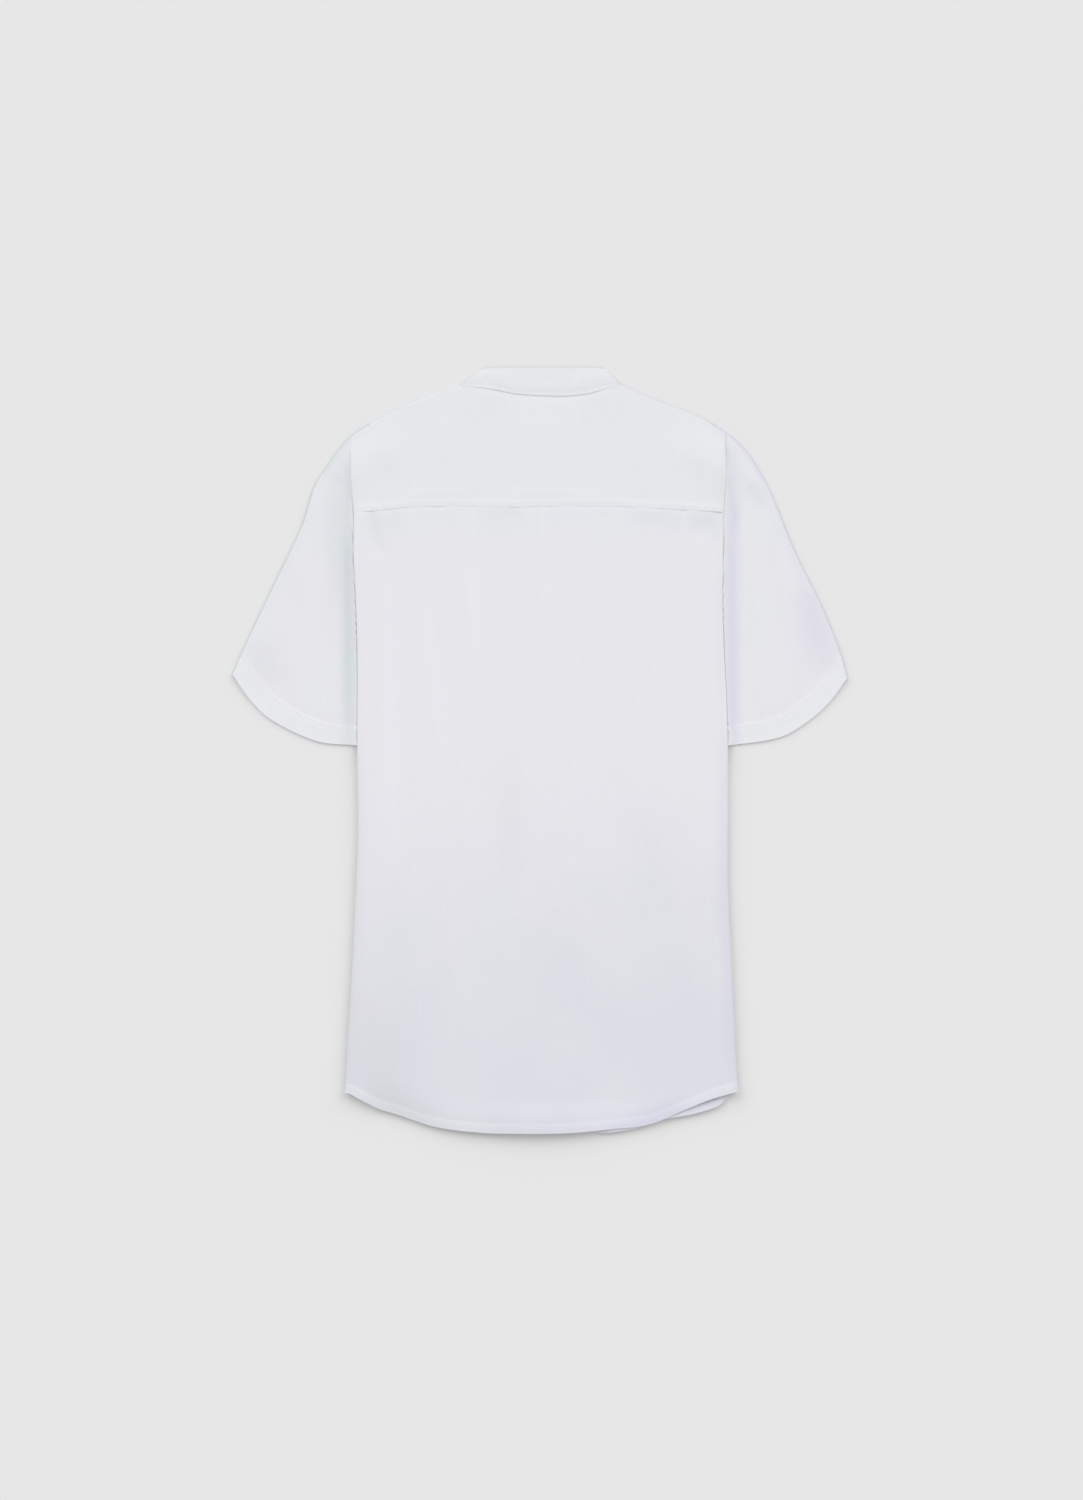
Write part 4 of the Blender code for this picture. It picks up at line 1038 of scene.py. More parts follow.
def addShoulder(sheet, side, places, top, wall, sizes):
    # over the shoulder and down to the seam with the front, beneath
    floor = heights["floorLayer"]
    angles = np.linspace(0.0, math.pi, sizes["rollSteps"] + 1)[:, None]
    radius = (top[:, 2] - floor) / 2.0
    plan = top[:, :2] + shoulderDirection(side, places) * (radius * np.sin(angles))[..., None]
    z = floor + radius * (1.0 + np.cos(angles))
    roll = np.concatenate([plan, z[..., None]], axis=-1)
    roll[0] = top
    neckTop, armTop = shoulderPoint(side, places[:1])[0], shoulderPoint(side, places[-1:])[0]
    across = shoulderShare(side, places)[:, None]
    bulge = top[:, :2] - mix(neckTop, armTop, across)
    strip = []
    for depth in np.linspace(0.0, 1.0, sizes["stripRows"] + 1)[1:]:
        neck, arm = frontNeckPoint(side, 0.25 * depth, 0.5), mix(armTop, frontYokeEnd(side), depth)
        flat = mix(neck, arm, across) + bulge * (1.0 - depth)
        lift = sizes["stripRidge"] * bell((1.0 - depth) * frontYokeDepth - sizes["stitchAt"], stitchReach)
        strip.append(np.hstack([flat, np.full((len(flat), 1), floor + lift)]))
    points = np.concatenate([roll, np.array(strip)])
    double, paintedShading = np.zeros(points.shape[:2]), np.zeros(points.shape[:2])
    double[-4:] = 1.0
    # painted shade over the shoulder's fold
    paintedShading[:len(roll)] = sizes["edgeShades"][side] * smoothStep(0.0, 0.9, angles)
    return sheet.addGrid(points[:, ::side], wall[::side], double, turned=True, paintedShading=paintedShading)


def makeYoke(sizes):
    shares, top, places = yokeColumns(sizes)
    seam = np.stack([mix(*seamEdges(), shares), seamY(shares) - sizes["overlap"]], axis=-1)
    lengths = np.linalg.norm(top - seam, axis=1)
    width, stitchAt = sizes["allowance"], sizes["stitchAt"]
    stops = [13.0, 10.5, width + 0.7, width, width - 0.8, 5.4, 4.0, stitchAt + 0.6, stitchAt, stitchAt - 0.6]
    stops += [1.2, 0.5, 0.0]
    rows = rowShares(lengths, stops, sizes["rows"])
    rows[1] = 2.0 / lengths
    plan = mix(top[None], seam[None], rows[..., None])
    x, y = plan[..., 0], plan[..., 1]
    belowEdge = top[:, 1] - y
    away = (1.0 - rows) * lengths
    double = 1.0 - smoothStep(width - 3.5, width + 1.5, away)
    walls = mix(sizes["wall"], sizes["seamWall"], double)
    relief = clothRelief(x, y, sizes["creases"], sizes["grains"])
    relief += puckers(x, away - 4.0, *sizes["seamPuckers"]) + puckers(x, belowEdge, *sizes["edgePuckers"])
    height, at, reach = sizes["ridge"]
    z = yokeHeight(x, y, belowEdge) + relief * smoothStep(0.0, 14.0, belowEdge)
    z += (walls - sizes["wall"]) / 2.0 - sizes["groove"] * bell(away - stitchAt, stitchReach)
    z += height * bell(away - at, reach) * (1.0 + noiseAlong(x, 24.0, 37))
    z -= sizes["edgeDroop"] * (1.0 - smoothStep(0.0, 2.0, away))
    z -= sizes["neckDip"] * (1.0 - smoothStep(0.8, 7.0, belowEdge)) * smoothStep(neckX(-1) - 4.0, 48.0, np.abs(x))
    points = np.stack([x, y, z], axis=-1)
    sheet = ClothSheet()
    # painted shade and painted light strokes go on the yoke
    numbers = sheet.addGrid(points, walls, double, gridUv(points, points.shape[1] // 2),
                            paintedShading=creaseHeight(x, y, sizes["paintedShadingStrokes"]))
    for side, column in ((-1, 0), (1, -1)):
        kept = foldAmount(points[:, column, 1]) > 0.02
        addYokeFold(sheet, side, points[kept, column], walls[kept, column], double[kept, column], sizes)
    folded, strips = sizes["shoulderSteps"] + 1, []
    for side in (-1, 1):
        # the columns over the shoulder's fold, from the neck outwards
        picked = sizes["cornerSteps"] + np.arange(folded)[::-1]
        picked = picked if side < 0 else -1 - picked
        strips.append(addShoulder(sheet, side, places[side][:folded], points[0, picked], walls[0, picked], sizes))
    sheet.build("back_yoke_cloth", yokeLinen, "white_linen", "back_yoke")
    sheet.lines = [sheet.lineOn(line) for line in (numbers[sewnRow(stops, stitchAt)], strips[0][-2], strips[1][-2])]
    return sheet


yokeSheet = makeYoke(yoke)

# collar band

collar = {
    "wall": 1.05,
    "edgeWall": 0.9,
    "overlap": 1.0,           # how far its seam stands over the yoke
    "seamLift": 0.28,
    "edgeDroop": 4.2,         # the top edge bows down towards its front half
    "droopReach": 7.5,
    # painted shade over the band's two end folds
    "edgeShade": 0.4,
    "paintedEdgeShades": [(0.55, 7.0), (0.3, 1.2)],   # painted shade along the top edge: amount, half width
    "topStitchAt": 5.0,
    "seamStitchAt": 3.4,
    "stitchDent": (0.3, 0.8),   # how much thinner the stitches press the wall, and over what half width
    "topPuckers": (41, 0.12, 6.0, 4.0),
    "seamPuckers": (43, 0.14, 6.0, 4.0),
    "backSteps": 72,
    "frontSteps": 44,
    "rollSteps": 10,
    "creases": [
        (-0.25, 1.6, [(-36, 371), (0, 369.5), (30, 371)]),
        (0.3, 5.0, [(-58, 384), (-44, 374), (-40, 362)]),
        (-0.3, 4.0, [(-66, 380), (-56, 370), (-52, 362)]),
        (0.25, 5.0, [(50, 384), (44, 374), (46, 362)]),
    ],
    # painted shade above 0, painted light below 0: amount, half width, points
    "paintedShadingStrokes": [
        (0.2, 1.2, [(-26, 363.5), (0, 360.8), (30, 361), (52, 364)]),
        (-0.4, 1.4, [(-82, 365), (-66, 365.5), (-50, 363.5), (-34, 360)]),
        (-0.3, 1.4, [(46, 358), (62, 362.5), (78, 366)]),
    ],
}


def collarHeight(up):
    # the back half's own height, from its seam up to its free edge
    droop = collar["edgeDroop"] * np.exp(-(1.0 - up) * bandHeight / collar["droopReach"])
    return mix(heights["neck"], heights["collarTop"], up) - droop


def collarFoldBase(side, up):
    inset = (collarHeight(1.0) - heights["floorLayer"]) / 2.0 + cornerReach
    free = np.array(collarTops[side], float) - inset * foldWay(side)
    return mix(neckCorner(side), free, np.asarray(up, float)[..., None])


def collarBack(across, up):
    across, up = across[None, :], up[:, None]
    base = np.broadcast_to(neckSeamPoint(across), (up.size, across.size, 2)).copy()
    base[..., 1] += (seamGap / 2.0 - collar["overlap"]) * (1.0 - atNeckEnds(across))
    free = mix(collarFoldBase(-1, 1.0), collarFoldBase(1, 1.0), across[..., None])
    free[..., 1] = mix(collarTopY, free[..., 1], atNeckEnds(across))
    plan = mix(base, free, up[..., None])
    z = collarHeight(up) + collar["seamLift"] * (1.0 - (2.0 * across - 1.0) ** 4) * (1.0 - smoothStep(0.0, 0.6, up))
    return np.concatenate([plan, z[..., None]], axis=-1)


def collarFront(side, turn, up):
    up = up[:, None]
    start = mix(collarFoldBase(side, 0.0), collarFoldBase(side, 1.0), up[..., None])
    angle = math.pi / 2.0 * turn
    x = np.maximum(np.abs(start[..., 0]) * np.cos(angle), bandEndX)
    y = start[..., 1] - (start[..., 1] - frontNeckY - bandHeight * up) * np.sin(angle)
    return np.stack([side * x, y, heights["collarFront"] + placketLift(side, side * x)], axis=-1)


def collarRoll(side, up, steps):
    angles = np.linspace(math.pi, 0.0, steps + 1)[1:-1]
    radius = (collarHeight(up[:, None]) - heights["collarFront"]) / 2.0
    plan = collarFoldBase(side, up)[:, None, :] + foldWay(side) * (radius * np.sin(angles))[..., None]
    z = heights["collarFront"] + radius * (1.0 + np.cos(angles))
    return np.concatenate([plan, z[..., None]], axis=-1)


def makeCollar(sizes):
    topStitch, seamStitch = sizes["topStitchAt"], sizes["seamStitchAt"]
    fromTop = [0.0, 0.35, 0.9, 2.0, 3.4, topStitch - 0.7, topStitch, topStitch + 0.7]
    fromSeam = [seamStitch + 0.7, seamStitch, seamStitch - 0.7, 1.6, 0.8, 0.3, 0.0]
    between = np.linspace(fromTop[-1], bandHeight - fromSeam[0], 9)[1:-1].tolist()
    down = np.array(fromTop + between + [bandHeight - away for away in fromSeam])
    up = 1.0 - down / bandHeight
    turns = np.linspace(1.0, 0.0, sizes["frontSteps"] + 1)
    blocks = [
        collarFront(-1, turns, up),
        collarRoll(-1, up, sizes["rollSteps"]),
        collarBack(np.linspace(0.0, 1.0, sizes["backSteps"] + 1), up),
        collarRoll(1, up, sizes["rollSteps"])[:, ::-1],
        collarFront(1, turns, up)[:, ::-1],
    ]
    points = np.concatenate(blocks, axis=1)
    ends = np.cumsum([block.shape[1] for block in blocks])
    back, down = slice(ends[1], ends[2]), down[:, None]
    amount, reach = sizes["stitchDent"]
    walls = mix(sizes["edgeWall"], sizes["wall"], smoothStep(1.5, 3.5, np.minimum(down, bandHeight - down)))
    walls = walls - amount * bell(down - topStitch, reach) - amount * bell(down - bandHeight + seamStitch, reach)
    x, y = points[:, back, 0], points[:, back, 1]
    calm = smoothStep(0.0, 12.0, np.minimum(x - x[:, :1], x[:, -1:] - x))
    ripple = puckers(x, down - topStitch, *sizes["topPuckers"])
    ripple += puckers(x, bandHeight - down - seamStitch, *sizes["seamPuckers"])
    points[:, back, 2] += (creaseHeight(x, y, sizes["creases"]) + ripple) * calm
    # painted shade and painted light on the back half, painted shade along its top edge and over its end folds
    paintedShading = np.zeros(points.shape[:2])
    paintedEdgeShade = sum(tone * bell(down, width) for tone, width in sizes["paintedEdgeShades"])
    paintedShading[:, back] = creaseHeight(x, y, sizes["paintedShadingStrokes"]) + paintedEdgeShade
    paintedShading[:, ends[0]:ends[1]] = paintedShading[:, ends[2]:ends[3]] = sizes["edgeShade"]
    sheet = ClothSheet()
    numbers = sheet.addGrid(points, walls, 1.0, gridUv(points, points.shape[1] // 2), paintedShading=paintedShading)
    sheet.build("collar_cloth", collarLinen, "collar_linen", "collar_band")
    sheet.lines = [sheet.lineOn(numbers[row]) for row in (fromTop.index(topStitch), sewnRow(fromSeam, seamStitch))]
    return sheet


collarSheet = makeCollar(collar)

# sleeves

sleeve = {
    "wall": 0.5,
    "hemWall": 0.95,
    "hemWidths": (22.0, 17.0),   # at the outer fold and at the underarm
    "hemMarks": [1.35, 1.12, 1.03, 1.0, 0.955, 0.91, 0.865, 0.6, 0.35, 0.15, 0.05, 0.015, 0.0],   # its rows, as shares
    "stitchMark": 0.91,
    "hemGroove": 0.14,
    "hemLift": -0.8,
    "hemLiftReach": 30.0,
    "loft": 1.0,
    "besideBody": 3.5,
    "besideReach": 3.0,
    "rollGap": 0.6,
    # painted shade along the outer fold, up to twice as strong near the head
    "edgeShade": 1.6,
    "across": [(0.0, 0.76, 56), (0.76, 0.95, 44), (0.95, 1.0, 6)],   # finer beside the body's edge
    "rows": 56,
    "rollSteps": 8,
    "hemPuckers": {-1: (52, 0.2, 9.0, 8.0), 1: (54, 0.2, 9.0, 8.0)},
    "grains": {-1: [(0.14, 12.0, 60.0, 50)], 1: [(0.14, 12.0, 60.0, 52)]},
    "creases": {
        -1: [
            (-0.9, 5.5, [(-193, 270), (-192, 160), (-190, 60), (-189, -6)]),
            (-0.7, 3.0, [(-199, 292), (-194, 276), (-188, 256)]),
            (-0.6, 2.6, [(-193, 302), (-191, 288), (-190, 276)]),
            (0.8, 4.5, [(-206, 296), (-205, 282), (-204, 268)]),
            (0.9, 6.0, [(-215, 275), (-216, 200), (-214, 120)]),
            (-0.5, 8.0, [(-201, 250), (-203, 200), (-200, 140)]),
            (-0.7, 10.0, [(-292, 112), (-276, 88), (-262, 60)]),
            (0.6, 9.0, [(-262, 150), (-252, 110), (-246, 60)]),
            (0.5, 10.0, [(-236, 200), (-232, 120), (-226, 50)]),
            (-0.5, 8.0, [(-246, 180), (-242, 120), (-238, 50)]),
        ],
        1: [
            (-0.9, 5.0, [(193, 304), (190, 220), (189, 100), (190, -6)]),
            (-0.8, 4.0, [(184, 308), (185, 294), (186, 280)]),
            (-0.6, 2.8, [(186, 272), (187, 258), (188, 240)]),
            (-0.6, 3.5, [(194, 252), (195, 230), (193, 205)]),
            (0.9, 6.0, [(205, 286), (209, 274), (214, 262)]),
            (-0.7, 8.0, [(203, 268), (214, 252), (224, 238)]),
            (0.7, 7.0, [(206, 236), (209, 180), (206, 110)]),
            (-0.7, 13.0, [(258, 170), (272, 120), (288, 66)]),
            (0.6, 9.0, [(240, 190), (248, 130), (252, 60)]),
            (0.5, 9.0, [(224, 180), (226, 110), (222, 40)]),
            (-0.4, 7.0, [(232, 190), (236, 120), (234, 50)]),
        ],
    },
    # painted shade above 0, painted light below 0, for each side: amount, half width, points
    "paintedShadingStrokes": {
        -1: [
            (0.8, 8.0, [(-194, 290), (-194, 240), (-193, 120), (-193, 0), (-193, -60)]),
            (0.35, 5.0, [(-194, 230), (-194, 120), (-193, 0)]),
            (0.5, 13.0, [(-205, 292), (-209, 250), (-206, 190), (-203, 130)]),
            (0.4, 12.0, [(-200, 318), (-203, 296), (-204, 262)]),
            (-0.25, 4.5, [(-206, 290), (-205, 282), (-203, 274)]),
            (-0.14, 6.0, [(-224, 270), (-220, 220), (-216, 160)]),
            (0.4, 16.0, [(-294, 108), (-278, 84), (-262, 62)]),
            (0.18, 7.0, [(-214, 280), (-242, 214), (-272, 152), (-300, 92)]),
            (-0.45, 2.2, [(-189, 300), (-188, 262), (-189, 220)]),
            (0.4, 2.2, [(-184, 315), (-199, 303), (-212, 285), (-220, 268)]),
        ],
        1: [
            (0.8, 7.0, [(191, 320), (192, 240), (192, 120), (193, 0), (193, -60)]),
            (0.35, 3.0, [(186, 306), (186, 292), (187, 282)]),
            (0.3, 3.5, [(194, 256), (195, 234), (194, 212)]),
            (-0.12, 5.0, [(203, 280), (209, 273), (216, 268)]),
            (0.16, 12.0, [(200, 296), (206, 276), (214, 262)]),
            (0.3, 11.0, [(203, 262), (214, 252), (224, 240)]),
            (0.5, 18.0, [(258, 164), (274, 116), (286, 70)]),
            (0.24, 8.0, [(214, 276), (240, 224), (268, 162), (296, 96)]),
            (-0.3, 2.2, [(185.5, 312), (185, 280), (184, 235), (183, 180)]),
            (0.5, 2.2, [(188, 314), (197.5, 306), (207, 295), (217, 279.5), (231, 252)]),
        ],
    },
    "underCreases": {
        -1: [(0.3, 6.0, [(-280, 110), (-262, 80), (-240, 40)]), (0.3, 7.0, [(-220, 220), (-216, 150), (-220, 80)])],
        1: [(0.3, 6.0, [(276, 110), (256, 80), (236, 40)]), (0.3, 7.0, [(218, 220), (214, 150), (220, 80)])],
    },
}


class SleevePlan:
    # a patch between the sleeve's fold, hem, underarm and armhole, seen from above

    def __init__(self, side):
        self.side = side
        self.outline, self.hem = PlanLine(outlineRows[side]), PlanLine(sleeveHemRows[side])
        # it starts at the armhole on the outline, and is then moved out by the fold's own width
        self.first = float(self.outline.shareAtX(armholeX))
        self.first = float(self.outline.shareAtX(armholeX + (armholeX - abs(self.outer(0.0)[0]))))

    def foldDirection(self, along):
        return self.outline.outward(mix(self.first, 1.0, np.asarray(along, float)), self.side)

    def foldHeight(self, along):
        return mix(heights["sleeveResting"], heights["sleeveFold"], smoothStep(0.0, 0.5, along))

    def outer(self, along):
        along = np.asarray(along, float)
        inset = (self.foldHeight(along) - heights["floorLayer"]) / 2.0 + clothReach
        return self.outline.point(mix(self.first, 1.0, along)) - self.foldDirection(along) * inset[..., None]

    def inner(self, along):
        y = mix(underarmY, self.hem.line[-1, 1], np.asarray(along, float))
        inset = (heights["sleeveResting"] - heights["floorLayer"]) / 2.0 + clothReach
        return np.stack([np.full_like(y, self.side * (armholeX + inset)), y], axis=-1)

    def armhole(self, across):
        start, end = self.outer(0.0), self.inner(0.0)
        seamX = self.side * armholeX
        slip = (end[0] - seamX) * across ** 3 + (start[0] - seamX) * (1.0 - across) ** 3
        return np.stack([seamX + slip, mix(start[1], end[1], across)], axis=-1)

    def hemline(self, across):
        shift = (self.outer(1.0) - self.hem.line[0]) * ((1.0 - across) ** 3)[..., None]
        shift = shift + (self.inner(1.0) - self.hem.line[-1]) * (across ** 3)[..., None]
        return self.hem.point(across) + shift

    def patch(self, across, along):
        ends = mix(self.armhole(across), self.hemline(across), along[..., None])
        sides = mix(self.outer(along), self.inner(along), across[..., None])
        near = mix(self.outer(0.0), self.inner(0.0), across[..., None])
        far = mix(self.outer(1.0), self.inner(1.0), across[..., None])
        return ends + sides - mix(near, far, along[..., None])


def makeSleeve(side, name, sizes):
    plan = SleevePlan(side)
    across = [np.linspace(start, end, count + 1)[:-1] for start, end, count in sizes["across"]]
    across = np.concatenate(across + [[1.0]])
    lengths = np.linalg.norm(plan.armhole(across) - plan.hemline(across), axis=1)
    widths = mix(*sizes["hemWidths"], across)
    rows = rowShares(lengths / widths, sizes["hemMarks"], sizes["rows"])
    grid = np.broadcast_to(across, rows.shape)
    flat = plan.patch(grid, rows)
    x, y = flat[..., 0], flat[..., 1]
    away = (1.0 - rows) * lengths
    inHem = 1.0 - smoothStep(0.95, 1.09, away / widths)
    walls = mix(sizes["wall"], sizes["hemWall"], inHem)
    calm = smoothStep(0.0, 0.06, grid) * smoothStep(1.0, 0.9, grid)

    # the upper layer rises to meet the body's folded side, and passes beneath its roll
    resting, floor = heights["sleeveResting"], heights["floorLayer"]
    top = resting + (plan.foldHeight(rows) - resting) * (1.0 - smoothStep(0.0, 0.3, grid))
    loft = sizes["loft"] * np.sin(math.pi * grid) ** 0.8 * smoothStep(0.0, 0.25, rows) * smoothStep(1.06, 0.8, rows)
    relief = clothRelief(x, y, sizes["creases"][side], sizes["grains"][side])
    relief += puckers(x + 0.6 * y, away - widths, *sizes["hemPuckers"][side])
    lift = sizes["hemLift"] * (1.0 - smoothStep(0.0, sizes["hemLiftReach"], away))
    lift = lift * (0.8 + 0.2 * noiseAlong(x, 40.0, 57))
    top = np.maximum(top + (loft + relief) * calm + lift, floor + walls + 0.12)
    top += (walls - sizes["wall"]) / 2.0 - sizes["hemGroove"] * bell(away - sizes["stitchMark"] * widths, stitchReach)
    beside = np.maximum(side * (x - sideX(side, y)), 0.0)
    top += sizes["besideBody"] * bell(beside, sizes["besideReach"]) * smoothStep(326.0, 284.0, y)
    fromRoll = np.maximum(side * (x - rollCentreX(side, y)), 0.0)
    clear = rollRadius(y) + sizes["rollGap"]
    roof = crestHeight(y) - rollRadius(y) - np.sqrt(np.maximum(clear ** 2 - fromRoll ** 2, 0.0))
    top = np.where(fromRoll < clear, np.minimum(top, roof), top)
    under = floor + np.maximum(creaseHeight(x, y, sizes["underCreases"][side]), 0.0) * calm + 0.06 * inHem
    steps = np.arange(1, sizes["rollSteps"]) * math.pi / sizes["rollSteps"]

    def foldGrid(column, direction):
        # round the edge, from the upper layer's column to the one beneath it
        low = under[:, column, None]
        radius = (top[:, column, None] - low) / 2.0
        fold = flat[:, None, column] + direction * (radius * np.sin(steps))[..., None]
        return np.concatenate([fold, (low + radius * (1.0 + np.cos(steps)))[..., None]], axis=-1)

    def allRound(values):
        # the upper layer's values, carried on over both folds and the layer beneath
        return np.concatenate([values, np.repeat(values[:, -1:], len(steps), axis=1), values[:, ::-1],
                               np.repeat(values[:, :1], len(steps) + 1, axis=1)], axis=1)

    innerFold = foldGrid(-1, np.array([-side, 0.0]))
    outerFold = foldGrid(0, plan.foldDirection(rows[:, 0])[:, None])[:, ::-1]
    upper, lower = (np.concatenate([flat, layer[..., None]], axis=-1) for layer in (top, under))
    points = np.concatenate([upper, innerFold, lower[:, ::-1], outerFold, upper[:, :1]], axis=1)
    # painted shade and painted light on the upper layer, and painted shade over the outer fold
    tone = creaseHeight(x, y, sizes["paintedShadingStrokes"][side])
    paintedEdgeShade = sizes["edgeShade"] * np.sin(steps[::-1]) * (1.0 + smoothStep(0.3, 0.05, rows[:, :1]))
    quiet = np.zeros((len(rows), len(steps) + len(across)))
    paintedShading = np.concatenate([tone, quiet, paintedEdgeShade, tone[:, :1]], axis=1)
    sheet = ClothSheet()
    numbers = sheet.addGrid(points, allRound(walls), allRound(inHem), turned=side > 0, paintedShading=paintedShading)
    sheet.build(name + "_cloth", coolLinen, "white_linen", name)
    sheet.lines = [sheet.lineOn(numbers[sewnRow(sizes["hemMarks"], sizes["stitchMark"])])]
    return sheet


leftSleeve = makeSleeve(-1, "left_sleeve", sleeve)
rightSleeve = makeSleeve(1, "right_sleeve", sleeve)

# fronts, beneath

front = {
    "wall": 0.5,
    "hemWall": 0.95,
    "hemWidth": 8.0,
    "hemStitchAt": 6.6,
    "hemZone": 13.0,
    "hemStep": 0.05,
    "placketStitchAt": 11.0,   # on each side of centre front
    "placketRidge": 0.12,      # along its stitches
    "placketWall": 0.8,
    "neckSteps": 36,
    "shoulderSteps": 14,
    "rows": 150,
    "creases": {
        -1: [
            (0.5, 7.0, [(-60, 180), (-66, 60), (-60, -60)]),
            (0.45, 6.0, [(-110, 120), (-104, 20), (-112, -80)]),
            (0.5, 8.0, [(-90, -120), (-96, -220), (-88, -320)]),
            (0.4, 6.0, [(-140, 40), (-134, -60), (-138, -160)]),
        ],
        1: [
            (0.5, 7.0, [(62, 190), (68, 80), (62, -40)]),
            (0.45, 6.0, [(112, 140), (106, 30), (112, -60)]),
            (0.5, 8.0, [(92, -100), (98, -200), (90, -310)]),
            (0.4, 6.0, [(140, 20), (134, -80), (140, -180)]),
        ],
    },
}


def frontSideX(side, y):
    return mix(side * armholeX, sideSeamX(side, y), smoothStep(*tuckDrop, y)) - side * seamGap


def makeFront(side, name, sizes):
    # the top edge runs along the placket's end, the neckline and the yoke's seam
    sewn = sizes["placketStitchAt"]
    straightX = side * np.array([-placketHalf, -placketHalf + 0.6, -sewn - 0.7, -sewn, -sewn + 0.7, -8.0, -5.0, -2.5])
    straight = np.stack([straightX, np.full(len(straightX), frontNeckPoint(side, 1.0, seamGap)[1])], axis=-1)
    curve = frontNeckPoint(side, np.linspace(1.0, 0.25, sizes["neckSteps"] + 1), seamGap)
    curve[0, 0] = 0.0
    shoulder = mix(curve[-1], frontYokeEnd(side), np.linspace(0.0, 1.0, sizes["shoulderSteps"] + 1)[1:, None])
    shoulder[:, 1] -= seamGap
    top = np.concatenate([straight, curve, shoulder])

    # columns are straight in the placket, and spread towards the side seam beyond it
    inPlacket = side * top[:, 0] <= placketRampEnd
    startX = top[inPlacket][-1, 0]
    edge = float(frontSideX(side, sideRows[0][0]))
    hemX = top[:, 0].copy()
    hemX[~inPlacket] = mix(startX, edge, np.linspace(0.0, 1.0, (~inPlacket).sum() + 1)[1:])
    hem = lineY(underHemRows, hemX)
    lengths = top[:, 1] - hem
    stops = hemStops(sizes)
    rows = rowShares(lengths, stops, sizes["rows"])
    y = mix(top[:, 1], hem, rows)
    topShare, hemShare = (top[:, 0] - startX) / (top[-1, 0] - startX), (hemX - startX) / (edge - startX)
    share = mix(topShare, hemShare, smoothStep(0.0, 1.0, rows))
    x = np.where(inPlacket, top[:, 0], mix(startX, frontSideX(side, y), share))

    away = (1.0 - rows) * lengths
    walls, inHem = hemWalls(away, sizes)
    inBand = 1.0 - smoothStep(placketHalf - 0.3, placketHalf + 0.6, np.abs(x))
    walls = mix(walls, sizes["placketWall"], inBand * (1.0 - inHem))
    calm = smoothStep(placketRampEnd - 3.0, placketRampEnd + 8.0, side * x)
    calm = calm * smoothStep(0.0, 0.05, share) * smoothStep(1.0, 0.93, share)
    z = heights["floorLayer"] + placketLift(side, x) + underHemLift(x, away)
    z += np.maximum(creaseHeight(x, y, sizes["creases"][side]), 0.0) * calm
    z += sizes["hemStep"] * inHem * (1.0 - inBand)
    z += sizes["placketRidge"] * (bell(x + sewn, stitchReach) + bell(x - sewn, stitchReach))
    points = np.stack([x, y, z], axis=-1)
    sheet = ClothSheet()
    numbers = sheet.addGrid(points[:, ::side], walls[:, ::side], np.maximum(inHem, inBand)[:, ::side], turned=True)
    sheet.build(name + "_cloth", whiteLinen, "white_linen", name)
    numbers = numbers[:, ::side]
    columns = [int(np.argmin(np.abs(side * top[:, 0] - at))) for at in (-sewn, sewn)]
    sheet.lines = [sheet.lineOn(numbers[sewnRow(stops, sizes["hemStitchAt"])])]
    sheet.lines += [sheet.lineOn(numbers[:, column]) for column in columns]
    return sheet


leftFront = makeFront(-1, "left_front", front)
rightFront = makeFront(1, "right_front", front)
print("cloth ready")

# stitches, each row a path that the same tree sews along

stitch = {
    "pitch": 2.5,             # millimetres from one stitch to the next
    "length": 1.9,
    "width": 0.42,
    "height": 0.3,
    "sink": 0.02,             # how far it is pulled into the cloth
    "seed": 7,
}
collarStitch = dict(stitch, pitch=2.3, length=1.75)
buttonholeStitch = {"pitch": 0.5, "length": 0.42, "width": 1.5, "height": 0.22, "sink": 0.0, "seed": 9}


def dressInstances(tree, result, instances, material):
    real = addNode(tree, "GeometryNodeRealizeInstances", (400, 100), {"Geometry": instances}).outputs[0]
    dressed = addNode(tree, "GeometryNodeSetMaterial", (650, 100), {"Geometry": real, "Material": material})
    fillInputs(tree, result, {0: dressed.outputs[0]})


